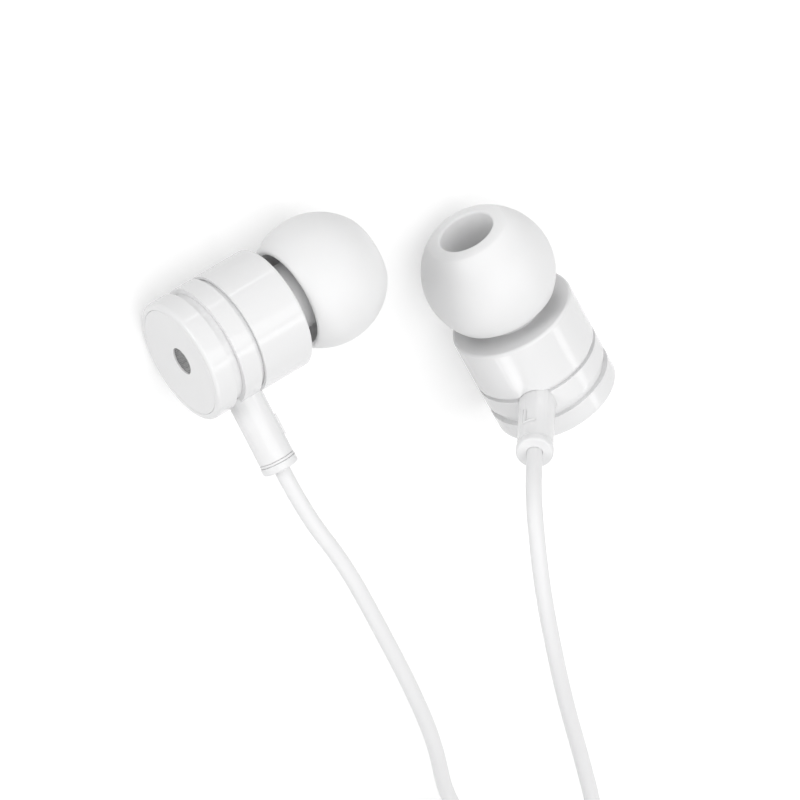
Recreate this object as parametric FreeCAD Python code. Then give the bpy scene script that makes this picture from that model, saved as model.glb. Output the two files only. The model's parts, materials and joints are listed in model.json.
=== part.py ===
import FreeCAD
import Part
import math
import os

from FreeCAD import Vector

# Wired in-ear earphones lying on a table, the two buds by the origin and the leads put away beyond them
# Millimetres, Z up, table top at Z = 0, origin under the middle of the two buds

# Bud shell, along the bud's own axis from its front parting groove, tip end positive
BODY_R = 5.85
WALL = 0.85
FRONT_LENGTH = 5.45
FRONT_EDGE = 0.3
GROOVE_HALF = 0.22
SPIGOT_STEP = 0.4
SPIGOT_LENGTH = 1.5
MIDDLE_BACK = 2.1
RECESS_WIDTH = 0.9
RECESS_DEPTH = 0.5
REAR_SPIGOT_LENGTH = 0.9
REAR_LENGTH = 2.0
REAR_EDGE = 0.35
FIT = 0.06

# Rear cap and vent
CAP_RIM = 0.42
CAP_DEPTH = 0.75
CAP_DOME = 0.12
CAP_DOME_MIDWAY = 0.09
CAP_EDGE = 0.12
VENT_R = 1.3
SCREEN_R = 2.1
SCREEN_THICK = 0.15

# Nozzle
NOZZLE_BASE_R = 3.05
NOZZLE_BASE_LENGTH = 0.55
NOZZLE_R = 2.15
NOZZLE_LENGTH = 3.8
NOZZLE_BORE_R = 1.6
FUNNEL_LENGTH = 1.4
BARB_HEIGHT = 0.28
BARB_BACK = 2.0
BARB_LENGTH = 0.9
MESH_R = 1.85
MESH_THICK = 0.12
DAMPER_THICK = 0.8

# Silicone ear tip
TIP_R = 6.1
TIP_CENTRE = 10.5
TIP_NOSE = 4.95
TIP_CROWN = 4.85
TIP_SKIRT_BACK = 3.4
TIP_SKIRT = 0.6
TIP_WEB = 3.0
TIP_WEB_RISE = 0.6
TIP_BORE_CLEARANCE = 0.15
TIP_TUBE_WALL = 0.55
TIP_LIP = 0.35
TIP_SEAT_GAP = 0.15

# Driver inside the shell
SEAT = 0.3
DRIVER_FIT = 0.12
FRAME_DEPTH = 2.7
FRAME_STEP = 0.2
FRAME_WALL = 0.72
YOKE_WALL = 0.3
YOKE_BASE = 0.4
YOKE_DEPTH = 2.0
MAGNET_GAP = 0.6
MAGNET_THICK = 1.15
PLATE_THICK = 0.4
COIL_GAP = 0.12
COIL_WALL = 0.18
COIL_LENGTH = 1.1
DIAPHRAGM_THICK = 0.1
DIAPHRAGM_DOME = 0.4
GASKET_WALL = 0.6
GASKET_THICK = 0.55
COVER_THICK = 0.3
COVER_HOLES = 6
COVER_HOLE_R = 0.5
COVER_HOLE_CIRCLE_R = 2.4
BOARD_CLEARANCE = 0.5
BOARD_BORE_R = 1.2
BOARD_THICK = 0.35
SEAT_LEDGE = 0.55

# Stem and collar, along the stem's own line out from the bud's axis
STEM_R = 1.65
STEM_SET_BACK = 1.0
STEM_LENGTH = 11.8
STEM_BORE_CLEARANCE = 0.1
COLLAR_R = 1.7
COLLAR_NECK = 0.3
COLLAR_NECK_R = 1.4
COLLAR_LENGTH = 0.75
COLLAR_EDGE = 0.2
COLLAR_SPIGOT_R = 1.2
COLLAR_SPIGOT_LENGTH = 1.4
KNOT_R = 1.0

# Leads
BRANCH_D = 1.45
MAIN_D = 2.0
FLOOR_GAP = 0.005
COIL_CLEAR = 0.47
COIL_SIDES = 6
SAMPLES_PER_ARC = 6
BRANCH_TURNS = 5.0
BRANCH_LAYERS = 2
BRANCH_COIL_R = 8.0
MAIN_TURNS = 11.0
MAIN_LAYERS = 4
MAIN_COIL_R = 12.0

# Splitter where the branches join
SPLITTER_LENGTH = 13.0
SPLITTER_WIDE_LENGTH = 5.8
SPLITTER_WIDTH = 6.2
SPLITTER_NARROW = 3.8
SPLITTER_THICK = 3.5
SPLITTER_EDGE = 0.7
BRANCH_PITCH = 2.5

# Plug, 3.5 mm, along its own axis from the shoulder that meets the socket
PIN_R = 1.75
PIN_LENGTH = 14.0
PIN_TIP_LENGTH = 3.4
PIN_TIP_CONE = 1.9
PIN_TIP_NECK_R = 1.15
PIN_TIP_END_R = 0.55
PIN_RING_LENGTH = 2.3
INSULATOR_LENGTH = 0.45
PIN_CORE_R = 0.8
PIN_CORE_DEPTH = 3.0
SHANK_R = 1.35
SHANK_DEPTH = 4.5
HANDLE_R = 2.75
HANDLE_LENGTH = 15.0
HANDLE_NOSE_R = 2.45
HANDLE_EDGE = 0.35
HANDLE_TAPER = 5.0
RELIEF_LENGTH = 8.0
RELIEF_R = 2.1
RELIEF_END_R = 1.5
RELIEF_RIBS = 4
RELIEF_RIB = 1.2
RELIEF_GROOVE = 0.3

# Where the buds lie: a place on the table, the heading of the axis, the roll of the stem about that axis,
# and how far the lead runs straight on from the stem
RIGHT_PLACE = (-15.16, 9.27)
RIGHT_HEADING = 0.0
RIGHT_ROLL = 159.2
RIGHT_STRAIGHT = 4.5
LEFT_PLACE = (13.64, -9.43)
LEFT_HEADING = 100.8
LEFT_ROLL = 49.3
LEFT_STRAIGHT = 4.6

# Where the put-away pieces lie, and the direction from a coil's centre in which its lead comes in. The left
# lead's coil lies on top of the right one's
RIGHT_COIL_PLACE = (-11.8, -63.5)
RIGHT_COIL_START = 22.0
LEFT_COIL_PLACE = (-8.4, -63.1)
LEFT_COIL_START = -15.0
MAIN_COIL_PLACE = (-8.0, -94.5)
MAIN_COIL_START = -90.0
SPLITTER_PLACE = (12.8, -88.0)
PLUG_PLACE = (-28.2, -72.0)

# Sizes that follow from those above
REAR_FRONT = -(MIDDLE_BACK + RECESS_WIDTH)
REAR_BACK = REAR_FRONT - REAR_LENGTH
CAVITY_R = BODY_R - WALL
SPIGOT_R = BODY_R - SPIGOT_STEP
RECESS_R = BODY_R - RECESS_DEPTH
SHELF_R = CAVITY_R - SEAT_LEDGE * 2
BOARD_R = SHELF_R - BOARD_CLEARANCE
YOKE_R = CAVITY_R - DRIVER_FIT - FRAME_WALL - FIT
MAGNET_R = YOKE_R - YOKE_WALL - MAGNET_GAP
FRAME_TOP = SEAT + FRAME_DEPTH
GASKET_TOP = FRAME_TOP + DIAPHRAGM_THICK + GASKET_THICK
LEDGE = GASKET_TOP + COVER_THICK
SHOULDER = FRONT_LENGTH + NOZZLE_BASE_LENGTH
NOZZLE_END = SHOULDER + NOZZLE_LENGTH
BARB_R = NOZZLE_R + BARB_HEIGHT
TIP_BORE_R = BARB_R + TIP_BORE_CLEARANCE
TIP_TUBE_R = TIP_BORE_R + TIP_TUBE_WALL
TIP_BACK = SHOULDER + TIP_SEAT_GAP
CAP_R = BODY_R - CAP_RIM
STEM_BORE_R = BRANCH_D / 2 + STEM_BORE_CLEARANCE
COLLAR_BACK = STEM_LENGTH + COLLAR_NECK
COLLAR_END = COLLAR_BACK + COLLAR_LENGTH
BUD_PITCH = math.asin((TIP_R - BODY_R) / (TIP_CENTRE - REAR_BACK - REAR_EDGE))
BRANCH_LOW = BRANCH_D / 2 + FLOOR_GAP
BRANCH_HIGH = BRANCH_LOW + BRANCH_LAYERS * (BRANCH_D + COIL_CLEAR)
MAIN_LOW = MAIN_D / 2 + FLOOR_GAP
SPLITTER_MID = SPLITTER_THICK / 2
LEAD_IN = 1.0


def turned(outline, arcs=None):
    """Solid of revolution about Z from a closed (radius, height) outline. arcs gives, for a corner's number,
    the middle point of the arc that leaves that corner in place of a straight side."""
    arcs = arcs or {}
    corners = [Vector(r, 0, z) for r, z in outline]
    edges = []
    for i, start in enumerate(corners):
        end = corners[(i + 1) % len(corners)]
        if i in arcs:
            middle = Vector(arcs[i][0], 0, arcs[i][1])
            edges.append(Part.Arc(start, middle, end).toShape())
        else:
            edges.append(Part.LineSegment(start, end).toShape())
    face = Part.Face(Part.Wire(edges))
    return face.revolve(Vector(0, 0, 0), Vector(0, 0, 1), 360)


def quarter(corner, size, inward, along):
    """Middle of a quarter round of the given size cut into a corner. inward and along are +1 or -1 and say
    where the material lies from the corner, in radius and in height."""
    k = size * (1 - math.sqrt(0.5))
    return (corner[0] + inward * k, corner[1] + along * k)


def ring(outer, inner, low, high):
    """Plain ring between two heights, or a disc where inner is zero."""
    body = Part.makeCylinder(outer, high - low, Vector(0, 0, low))
    if inner > 0:
        body = body.cut(Part.makeCylinder(inner, high - low, Vector(0, 0, low)))
    return body


def rod(radius, start, end):
    """Cylinder on the stem's line, which leaves the bud along its X axis."""
    return Part.makeCylinder(radius, end - start, Vector(start, 0, -STEM_SET_BACK), Vector(1, 0, 0))


# Shell pieces of a bud, drawn with the bud's axis on Z and its stem on X


def front_housing():
    edge = (BODY_R, FRONT_LENGTH)
    barb = SHOULDER + BARB_BACK
    outline = [
        (SPIGOT_R + FIT, GROOVE_HALF),
        (BODY_R, GROOVE_HALF),
        (BODY_R, FRONT_LENGTH - FRONT_EDGE),
        (BODY_R - FRONT_EDGE, FRONT_LENGTH),
        (NOZZLE_BASE_R, FRONT_LENGTH),
        (NOZZLE_BASE_R, SHOULDER),
        (NOZZLE_R, SHOULDER),
        (NOZZLE_R, barb),
        (BARB_R, barb),
        (NOZZLE_R, barb + BARB_LENGTH),
        (NOZZLE_R, NOZZLE_END),
        (MESH_R + FIT, NOZZLE_END),
        (MESH_R + FIT, NOZZLE_END - MESH_THICK),
        (NOZZLE_BORE_R, NOZZLE_END - MESH_THICK),
        (NOZZLE_BORE_R, LEDGE + FUNNEL_LENGTH),
        (CAVITY_R - SEAT_LEDGE, LEDGE),
        (CAVITY_R, LEDGE),
        (CAVITY_R, SPIGOT_LENGTH + FIT),
        (SPIGOT_R + FIT, SPIGOT_LENGTH + FIT),
    ]
    body = turned(outline, {2: quarter(edge, FRONT_EDGE, -1, -1)})
    return body.cut(rod(STEM_R + FIT, CAVITY_R, STEM_LENGTH))


def stem_housing():
    outline = [
        (SHELF_R, SEAT),
        (CAVITY_R - FIT, SEAT),
        (CAVITY_R - FIT, SPIGOT_LENGTH),
        (SPIGOT_R, SPIGOT_LENGTH),
        (SPIGOT_R, -GROOVE_HALF),
        (BODY_R, -GROOVE_HALF),
        (BODY_R, -MIDDLE_BACK),
        (SHELF_R, -MIDDLE_BACK),
    ]
    hub = turned(outline)
    driver_room = ring(CAVITY_R, 0, SEAT, SPIGOT_LENGTH)
    neck_room = ring(RECESS_R + FIT, 0, REAR_FRONT - STEM_R, -MIDDLE_BACK)
    stem = rod(STEM_R, SHELF_R + FIT, STEM_LENGTH).cut(driver_room).cut(neck_room)
    body = hub.fuse(stem)
    body = body.cut(rod(STEM_BORE_R, 0, STEM_LENGTH))
    return body.cut(rod(COLLAR_SPIGOT_R + FIT, STEM_LENGTH - COLLAR_SPIGOT_LENGTH, STEM_LENGTH))


def rear_housing():
    edge = (BODY_R, REAR_BACK)
    outline = [
        (CAP_R + FIT, REAR_BACK),
        (BODY_R - REAR_EDGE, REAR_BACK),
        (BODY_R, REAR_BACK + REAR_EDGE),
        (BODY_R, REAR_FRONT),
        (RECESS_R, REAR_FRONT),
        (RECESS_R, -MIDDLE_BACK),
        (SHELF_R - FIT, -MIDDLE_BACK),
        (SHELF_R - FIT, REAR_SPIGOT_LENGTH - MIDDLE_BACK),
        (SHELF_R - FIT - SEAT_LEDGE, REAR_SPIGOT_LENGTH - MIDDLE_BACK),
        (SHELF_R - FIT - SEAT_LEDGE, REAR_BACK + CAP_DEPTH),
        (CAP_R + FIT, REAR_BACK + CAP_DEPTH),
    ]
    body = turned(outline, {1: quarter(edge, REAR_EDGE, -1, 1)})
    return body.cut(rod(STEM_BORE_R, 0, CAVITY_R))


def rear_cap():
    back = REAR_BACK
    outline = [
        (VENT_R, back - CAP_DOME),
        (CAP_R - CAP_EDGE, back),
        (CAP_R, back + CAP_EDGE),
        (CAP_R, back + CAP_DEPTH),
        (VENT_R, back + CAP_DEPTH),
    ]
    slope = ((VENT_R + CAP_R - CAP_EDGE) / 2, back - CAP_DOME_MIDWAY)
    return turned(outline, {0: slope, 1: quarter((CAP_R, back), CAP_EDGE, -1, 1)})


def vent_screen():
    seat = REAR_BACK + CAP_DEPTH
    return ring(SCREEN_R, 0, seat, seat + SCREEN_THICK)


def nozzle_mesh():
    return ring(MESH_R, 0, NOZZLE_END - MESH_THICK, NOZZLE_END)


def nozzle_damper():
    top = NOZZLE_END - MESH_THICK
    return ring(NOZZLE_BORE_R - FIT, 0, top - DAMPER_THICK, top)


def stem_collar():
    edge = (COLLAR_R, COLLAR_END)
    bore = STEM_BORE_R
    outline = [
        (bore, STEM_LENGTH - COLLAR_SPIGOT_LENGTH),
        (COLLAR_SPIGOT_R, STEM_LENGTH - COLLAR_SPIGOT_LENGTH),
        (COLLAR_SPIGOT_R, STEM_LENGTH),
        (COLLAR_NECK_R, STEM_LENGTH),
        (COLLAR_NECK_R, COLLAR_BACK),
        (COLLAR_R, COLLAR_BACK),
        (COLLAR_R, COLLAR_END - COLLAR_EDGE),
        (COLLAR_R - COLLAR_EDGE, COLLAR_END),
        (bore, COLLAR_END),
    ]
    body = turned(outline, {6: quarter(edge, COLLAR_EDGE, -1, -1)})
    body.rotate(Vector(0, 0, 0), Vector(0, 1, 0), 90)
    body.translate(Vector(0, 0, -STEM_SET_BACK))
    return body


def cable_knot():
    reach = SHELF_R - FIT - SEAT_LEDGE - FIT - KNOT_R
    ball = Part.makeSphere(KNOT_R, Vector(reach, 0, -STEM_SET_BACK - BOARD_THICK))
    return ball.fuse(rod(BRANCH_D / 2, reach, COLLAR_END))


# Ear tip: a hollow skirt hung from a tube that slips over the nozzle's barb


def ear_tip():
    bore = TIP_BORE_R
    nose = TIP_CENTRE + TIP_NOSE
    web = TIP_CENTRE + TIP_WEB
    skirt_back = TIP_CENTRE - TIP_SKIRT_BACK
    inner_r = TIP_R - TIP_SKIRT
    web_r = math.sqrt(inner_r**2 - TIP_WEB**2)
    outline = [
        (bore, TIP_BACK),
        (TIP_TUBE_R, TIP_BACK),
        (TIP_TUBE_R, web),
        (web_r, web),
        (math.sqrt(inner_r**2 - TIP_SKIRT_BACK**2), skirt_back),
        (math.sqrt(TIP_R**2 - TIP_SKIRT_BACK**2), skirt_back),
        (math.sqrt(TIP_R**2 - TIP_CROWN**2), TIP_CENTRE + TIP_CROWN),
        (bore + TIP_LIP, nose),
        (bore, nose - TIP_LIP),
    ]
    arcs = {
        2: ((TIP_TUBE_R + web_r) / 2, web + TIP_WEB_RISE),
        3: (inner_r, TIP_CENTRE),
        5: (TIP_R, TIP_CENTRE),
        7: quarter((bore, nose), TIP_LIP, 1, -1),
    }
    return turned(outline, arcs)


# Driver stack, seated on the ledge inside the middle ring and held down by the front housing


def driver_frame():
    outer = CAVITY_R - DRIVER_FIT
    inner = YOKE_R + FIT
    step = SEAT + YOKE_DEPTH + FIT
    outline = [
        (inner, SEAT),
        (outer, SEAT),
        (outer, FRAME_TOP),
        (outer - GASKET_WALL, FRAME_TOP),
        (outer - GASKET_WALL, FRAME_TOP - FRAME_STEP),
        (inner, step),
    ]
    return turned(outline)


def driver_yoke():
    outline = [
        (0, SEAT),
        (YOKE_R, SEAT),
        (YOKE_R, SEAT + YOKE_DEPTH),
        (YOKE_R - YOKE_WALL, SEAT + YOKE_DEPTH),
        (YOKE_R - YOKE_WALL, SEAT + YOKE_BASE),
        (0, SEAT + YOKE_BASE),
    ]
    return turned(outline)


def driver_magnet():
    low = SEAT + YOKE_BASE
    return ring(MAGNET_R, 0, low, low + MAGNET_THICK)


def driver_plate():
    low = SEAT + YOKE_BASE + MAGNET_THICK
    return ring(MAGNET_R, 0, low, low + PLATE_THICK)


def voice_coil():
    inner = MAGNET_R + COIL_GAP
    return ring(inner + COIL_WALL, inner, FRAME_TOP - COIL_LENGTH, FRAME_TOP)


def diaphragm():
    rim = CAVITY_R - DRIVER_FIT
    foot = MAGNET_R + COIL_GAP + COIL_WALL
    top = FRAME_TOP + DIAPHRAGM_THICK
    outline = [
        (0, FRAME_TOP + DIAPHRAGM_DOME - DIAPHRAGM_THICK),
        (foot - COIL_WALL, FRAME_TOP),
        (rim, FRAME_TOP),
        (rim, top),
        (foot, top),
        (0, top + DIAPHRAGM_DOME - DIAPHRAGM_THICK),
    ]
    return turned(outline)


def driver_gasket():
    outer = CAVITY_R - DRIVER_FIT
    return ring(outer, outer - GASKET_WALL, FRAME_TOP + DIAPHRAGM_THICK, GASKET_TOP)


def driver_cover():
    plate = ring(CAVITY_R - DRIVER_FIT, 0, GASKET_TOP, LEDGE)
    for i in range(COVER_HOLES):
        angle = 2 * math.pi * i / COVER_HOLES
        x = COVER_HOLE_CIRCLE_R * math.cos(angle)
        y = COVER_HOLE_CIRCLE_R * math.sin(angle)
        plate = plate.cut(Part.makeCylinder(COVER_HOLE_R, COVER_THICK, Vector(x, y, GASKET_TOP)))
    return plate


def driver_board():
    return ring(BOARD_R, BOARD_BORE_R, SEAT - BOARD_THICK, SEAT)


BUD_PIECES = {
    "rear_cap": rear_cap,
    "vent_screen": vent_screen,
    "rear_housing": rear_housing,
    "stem_housing": stem_housing,
    "stem_collar": stem_collar,
    "cable_knot": cable_knot,
    "front_housing": front_housing,
    "nozzle_mesh": nozzle_mesh,
    "nozzle_damper": nozzle_damper,
    "ear_tip": ear_tip,
    "driver_frame": driver_frame,
    "driver_yoke": driver_yoke,
    "driver_magnet": driver_magnet,
    "driver_plate": driver_plate,
    "voice_coil": voice_coil,
    "diaphragm": diaphragm,
    "driver_gasket": driver_gasket,
    "driver_cover": driver_cover,
    "driver_board": driver_board,
}


def bud_frame(place, heading, roll):
    """Matrix that lays a bud on the table, resting on its ear tip and on the rim of its rear housing."""
    h = math.radians(heading)
    p = BUD_PITCH
    axis = Vector(math.cos(h) * math.cos(p), math.sin(h) * math.cos(p), math.sin(p))
    side = Vector(-math.sin(h), math.cos(h), 0)
    up = axis.cross(side)
    r = math.radians(roll)
    stem = side * math.cos(r) + up * math.sin(r)
    third = axis.cross(stem)
    rise = TIP_R - TIP_CENTRE * math.sin(p)
    matrix = FreeCAD.Matrix(
        stem.x, third.x, axis.x, place[0],
        stem.y, third.y, axis.y, place[1],
        stem.z, third.z, axis.z, rise,
        0, 0, 0, 1,
    )
    return matrix


# Leads: straight runs joined by tangent arcs, and coils wound from short arcs


def tangent_arc(corner, before, after, setback):
    """Arc that rounds a corner of a route, from setback before it to setback after it, and its radius."""
    u = (before - corner).normalize()
    w = (after - corner).normalize()
    start = corner + u * setback
    end = corner + w * setback
    chord = (start + end) * 0.5
    half = (end - start).Length / 2
    tall = (corner - chord).Length
    radius = half * setback / tall
    depth = radius - math.sqrt(max(radius**2 - half**2, 0))
    middle = chord + (corner - chord) * (depth / tall)
    return start, middle, end, radius


def run_path(name, points):
    """Wire through a cord's route, with every corner rounded as widely as its two runs allow."""
    points = [Vector(*p) for p in points]
    edges = []
    radii = []
    last = points[0]
    for before, corner, after in zip(points, points[1:], points[2:]):
        short = min((corner - before).Length, (after - corner).Length)
        start, middle, end, radius = tangent_arc(corner, before, after, 0.45 * short)
        edges.append(Part.LineSegment(last, start).toShape())
        edges.append(Part.Arc(start, middle, end).toShape())
        radii.append(radius)
        last = end
    edges.append(Part.LineSegment(last, points[-1]).toShape())
    wire = Part.Wire(edges)
    print(name, "length", round(wire.Length, 1), "radii", [round(r, 1) for r in radii])
    return wire


def run_tube(name, points, diameter):
    """Round tube along a cord's free stretch."""
    path = run_path(name, points)
    start = Vector(*points[0])
    along = (Vector(*points[1]) - start).normalize()
    circle = Part.Wire(Part.makeCircle(diameter / 2, start, along))
    solid = path.makePipeShell([circle], True, False)
    ideal = math.pi * diameter**2 / 4 * path.Length
    print("   volume ratio", round(solid.Volume / ideal, 4))
    return solid


def coil_step(q, turns, layers, middle_r, pitch, rise):
    """Radius and height of a piled coil after q quarter turns, and how fast each changes there."""
    total = 4 * turns
    spiral = (total - 2 * (layers - 1)) / layers
    first = spiral + 1
    outer_r = middle_r + pitch * first / 8
    reverse = [first + k * (spiral + 2) for k in range(layers - 1)]
    radius = outer_r
    rate = -pitch / 4
    last = 0.0
    slope = 0.0 if q in (0, total) else rate
    for turn_back in reverse + [total]:
        if q <= turn_back:
            radius += rate * (q - last)
            if 0 < q < total:
                slope = 0.0 if q == turn_back else rate
            break
        radius += rate * (turn_back - last)
        last = turn_back
        rate = -rate
    height = 0.0
    climb = 0.0
    for turn_back in reverse:
        t = min(max((q - turn_back + 1) / 2, 0.0), 1.0)
        height += rise * t * t * (3 - 2 * t)
        climb += rise * 3 * t * (1 - t)
    return radius, height, slope, climb


def coil_path(centre, low, start_angle, sense, turns, layers, middle_r, diameter):
    """Points and directions along a coil at each quarter turn, wound from outside, sense +1 anticlockwise."""
    pitch = diameter + COIL_CLEAR
    stops = []
    for q in range(int(round(4 * turns)) + 1):
        radius, height, slope, climb = coil_step(q, turns, layers, middle_r, pitch, pitch)
        angle = math.radians(start_angle) + sense * q * math.pi / 2
        out = Vector(math.cos(angle), math.sin(angle), 0)
        around = Vector(-math.sin(angle), math.cos(angle), 0) * sense
        point = Vector(centre[0], centre[1], low + height) + out * radius
        travel = around * (radius * math.pi / 2) + out * slope + Vector(0, 0, climb)
        stops.append((point, travel.normalize()))
    return stops


def biarc(stop, following):
    """Two arcs that join at one tangent, from one point and direction to the next."""
    p0, t0 = stop
    p1, t1 = following
    v = p1 - p0
    t = t0 + t1
    k = 2 * (1 - t0.dot(t1))
    vt = v.dot(t)
    d = (math.sqrt(vt**2 + k * v.dot(v)) - vt) / k
    a = p0 + t0 * d
    b = p1 - t1 * d
    joint = (a + b) * 0.5
    first = tangent_arc(a, p0, joint, d)
    second = tangent_arc(b, joint, p1, d)
    return [Part.Arc(*first[:3]).toShape(), Part.Arc(*second[:3]).toShape()]


def least_gap(samples, diameter, apart):
    """Smallest clear gap of a coil to itself, between samples at least so many steps apart along it."""
    least = math.inf
    for i, p in enumerate(samples):
        for q in samples[i + apart :]:
            least = min(least, (p - q).Length)
    return least - diameter


def coil_tube(name, centre, low, start_angle, sense, turns, layers, middle_r, diameter):
    """One unbroken faceted tube with all its turns, straight for one diameter at each end."""
    stops = coil_path(centre, low, start_angle, sense, turns, layers, middle_r, diameter)
    begin, begin_way = stops[0]
    finish, finish_way = stops[-1]
    outer_start = begin - begin_way * (LEAD_IN * diameter)
    outer_end = finish + finish_way * (LEAD_IN * diameter)
    edges = [Part.LineSegment(outer_start, begin).toShape()]
    for stop, following in zip(stops, stops[1:]):
        edges += biarc(stop, following)
    edges.append(Part.LineSegment(finish, outer_end).toShape())
    path = Part.Wire(edges)
    side = begin_way.cross(Vector(0, 0, 1))
    corners = []
    for i in range(COIL_SIDES + 1):
        angle = 2 * math.pi * i / COIL_SIDES
        corner = side * math.cos(angle) + Vector(0, 0, 1) * math.sin(angle)
        corners.append(outer_start + corner * (diameter / 2))
    section = Part.makePolygon(corners)
    solid = path.makePipeShell([section], True, False)
    samples = []
    for edge in edges[1:-1]:
        samples += edge.discretize(SAMPLES_PER_ARC + 1)[:-1]
    half_turn = 4 * SAMPLES_PER_ARC
    gap = least_gap(samples, diameter, half_turn)
    area = COIL_SIDES / 2 * math.sin(2 * math.pi / COIL_SIDES) * (diameter / 2) ** 2
    ratio = solid.Volume / (area * path.Length)
    print(name, "length", round(path.Length, 1), "least gap", round(gap, 2), "volume ratio", round(ratio, 4))
    return solid, outer_start, outer_end


# Splitter and plug


def splitter():
    x, y = SPLITTER_PLACE
    wide = SPLITTER_WIDTH / 2
    slim = SPLITTER_NARROW / 2
    narrows = y - SPLITTER_WIDE_LENGTH
    end = y - SPLITTER_LENGTH
    corners = [
        Vector(x - wide, y, 0),
        Vector(x + wide, y, 0),
        Vector(x + wide, narrows, 0),
        Vector(x + slim, end, 0),
        Vector(x - slim, end, 0),
        Vector(x - wide, narrows, 0),
    ]
    corners.append(corners[0])
    face = Part.Face(Part.makePolygon(corners))
    body = face.extrude(Vector(0, 0, SPLITTER_THICK))
    long_edges = [e for e in body.Edges if abs(e.tangentAt(e.FirstParameter).y) > 0.5]
    return body.makeFillet(SPLITTER_EDGE, long_edges)


def plug_tip():
    back = PIN_LENGTH - PIN_TIP_LENGTH
    outline = [
        (PIN_CORE_R, back),
        (PIN_TIP_NECK_R, back),
        (PIN_R, back + PIN_TIP_CONE),
        (PIN_TIP_END_R, PIN_LENGTH),
        (0, PIN_LENGTH),
        (0, -PIN_CORE_DEPTH),
        (PIN_CORE_R, -PIN_CORE_DEPTH),
    ]
    return turned(outline)


def pin_ring(start, length):
    return ring(PIN_R, PIN_CORE_R + FIT, start, start + length)


def plug_sleeve(end):
    """Rear contact, with a thinner shank that is moulded into the handle."""
    shank = ring(SHANK_R, PIN_CORE_R + FIT, -SHANK_DEPTH, 0)
    return pin_ring(0, end).fuse(shank)


def plug_handle():
    back = -HANDLE_LENGTH
    outline = [
        (SHANK_R + FIT, -SHANK_DEPTH),
        (SHANK_R + FIT, 0),
        (HANDLE_NOSE_R - HANDLE_EDGE, 0),
        (HANDLE_NOSE_R, -HANDLE_EDGE),
        (HANDLE_R, -HANDLE_TAPER),
        (HANDLE_R, back + HANDLE_EDGE),
        (HANDLE_R - HANDLE_EDGE, back),
        (0, back),
        (0, -SHANK_DEPTH),
    ]
    arcs = {
        2: quarter((HANDLE_NOSE_R, 0), HANDLE_EDGE, -1, -1),
        5: quarter((HANDLE_R, back), HANDLE_EDGE, -1, 1),
    }
    return turned(outline, arcs)


def plug_relief():
    start = -HANDLE_LENGTH
    step = RELIEF_LENGTH / RELIEF_RIBS
    outline = [(0, start)]
    for i in range(RELIEF_RIBS):
        radius = RELIEF_R + (RELIEF_END_R - RELIEF_R) * i / (RELIEF_RIBS - 1)
        top = start - i * step
        outline += [
            (radius, top),
            (radius, top - RELIEF_RIB),
            (radius - RELIEF_GROOVE, top - RELIEF_RIB),
            (radius - RELIEF_GROOVE, top - step),
        ]
    outline.append((0, start - RELIEF_LENGTH))
    return turned(outline)


def plug_pieces():
    first = PIN_LENGTH - PIN_TIP_LENGTH - INSULATOR_LENGTH
    second = first - PIN_RING_LENGTH
    sleeve_end = second - INSULATOR_LENGTH
    return {
        "plug_tip": plug_tip(),
        "plug_insulator_front": pin_ring(first, INSULATOR_LENGTH),
        "plug_ring": pin_ring(second, PIN_RING_LENGTH),
        "plug_insulator_rear": pin_ring(sleeve_end, INSULATOR_LENGTH),
        "plug_sleeve": plug_sleeve(sleeve_end),
        "plug_handle": plug_handle(),
        "plug_relief": plug_relief(),
    }


# Assembly

parts = {}
exits = {}
BUDS = {
    "right": (RIGHT_PLACE, RIGHT_HEADING, RIGHT_ROLL),
    "left": (LEFT_PLACE, LEFT_HEADING, LEFT_ROLL),
}
for name, place in BUDS.items():
    frame = bud_frame(*place)
    for piece, make in BUD_PIECES.items():
        parts[name + "_" + piece] = make().transformed(frame)
    mouth = frame.multVec(Vector(COLLAR_END, 0, -STEM_SET_BACK))
    way = mouth - frame.multVec(Vector(COLLAR_BACK, 0, -STEM_SET_BACK))
    exits[name] = (mouth, way.normalize())

branch_winding = (BRANCH_TURNS, BRANCH_LAYERS, BRANCH_COIL_R, BRANCH_D)
main_winding = (MAIN_TURNS, MAIN_LAYERS, MAIN_COIL_R, MAIN_D)
right_coil, right_in, right_out = coil_tube(
    "right_cable_coil", RIGHT_COIL_PLACE, BRANCH_LOW, RIGHT_COIL_START, -1, *branch_winding
)
left_coil, left_in, left_out = coil_tube(
    "left_cable_coil", LEFT_COIL_PLACE, BRANCH_HIGH, LEFT_COIL_START, -1, *branch_winding
)
main_coil, main_in, main_out = coil_tube(
    "main_cable_coil", MAIN_COIL_PLACE, MAIN_LOW, MAIN_COIL_START, -1, *main_winding
)
parts["right_cable_coil"] = right_coil
parts["left_cable_coil"] = left_coil
parts["main_cable_coil"] = main_coil

right_mouth, right_way = exits["right"]
right_route = [
    right_mouth,
    right_mouth + right_way * RIGHT_STRAIGHT,
    (-14.6, -13.1, 13.2),
    (-13.1, -20.9, 12.7),
    (-11.2, -29.1, 11.0),
    (-9.1, -37.8, 7.8),
    (-7.6, -46.7, 3.1),
    (-4.18, -54.6, BRANCH_LOW),
    right_in,
]
left_mouth, left_way = exits["left"]
left_route = [
    left_mouth,
    left_mouth + left_way * LEFT_STRAIGHT,
    (0.5, -15.9, 21.2),
    (-0.9, -21.0, 21.7),
    (-1.0, -27.6, 20.4),
    (0.2, -35.7, 16.9),
    (2.5, -45.2, 11.9),
    (4.6, -54.7, 6.9),
    (3.1, -60.3, BRANCH_HIGH),
    left_in,
]
branch_x = BRANCH_PITCH / 2
fork_x, fork_y = SPLITTER_PLACE
right_tail = [
    right_out,
    (1.2, -68.0, right_out.z),
    (8.5, -76.5, 2.1),
    (fork_x + branch_x, -82.4, SPLITTER_MID),
    (fork_x + branch_x, fork_y, SPLITTER_MID),
]
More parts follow.
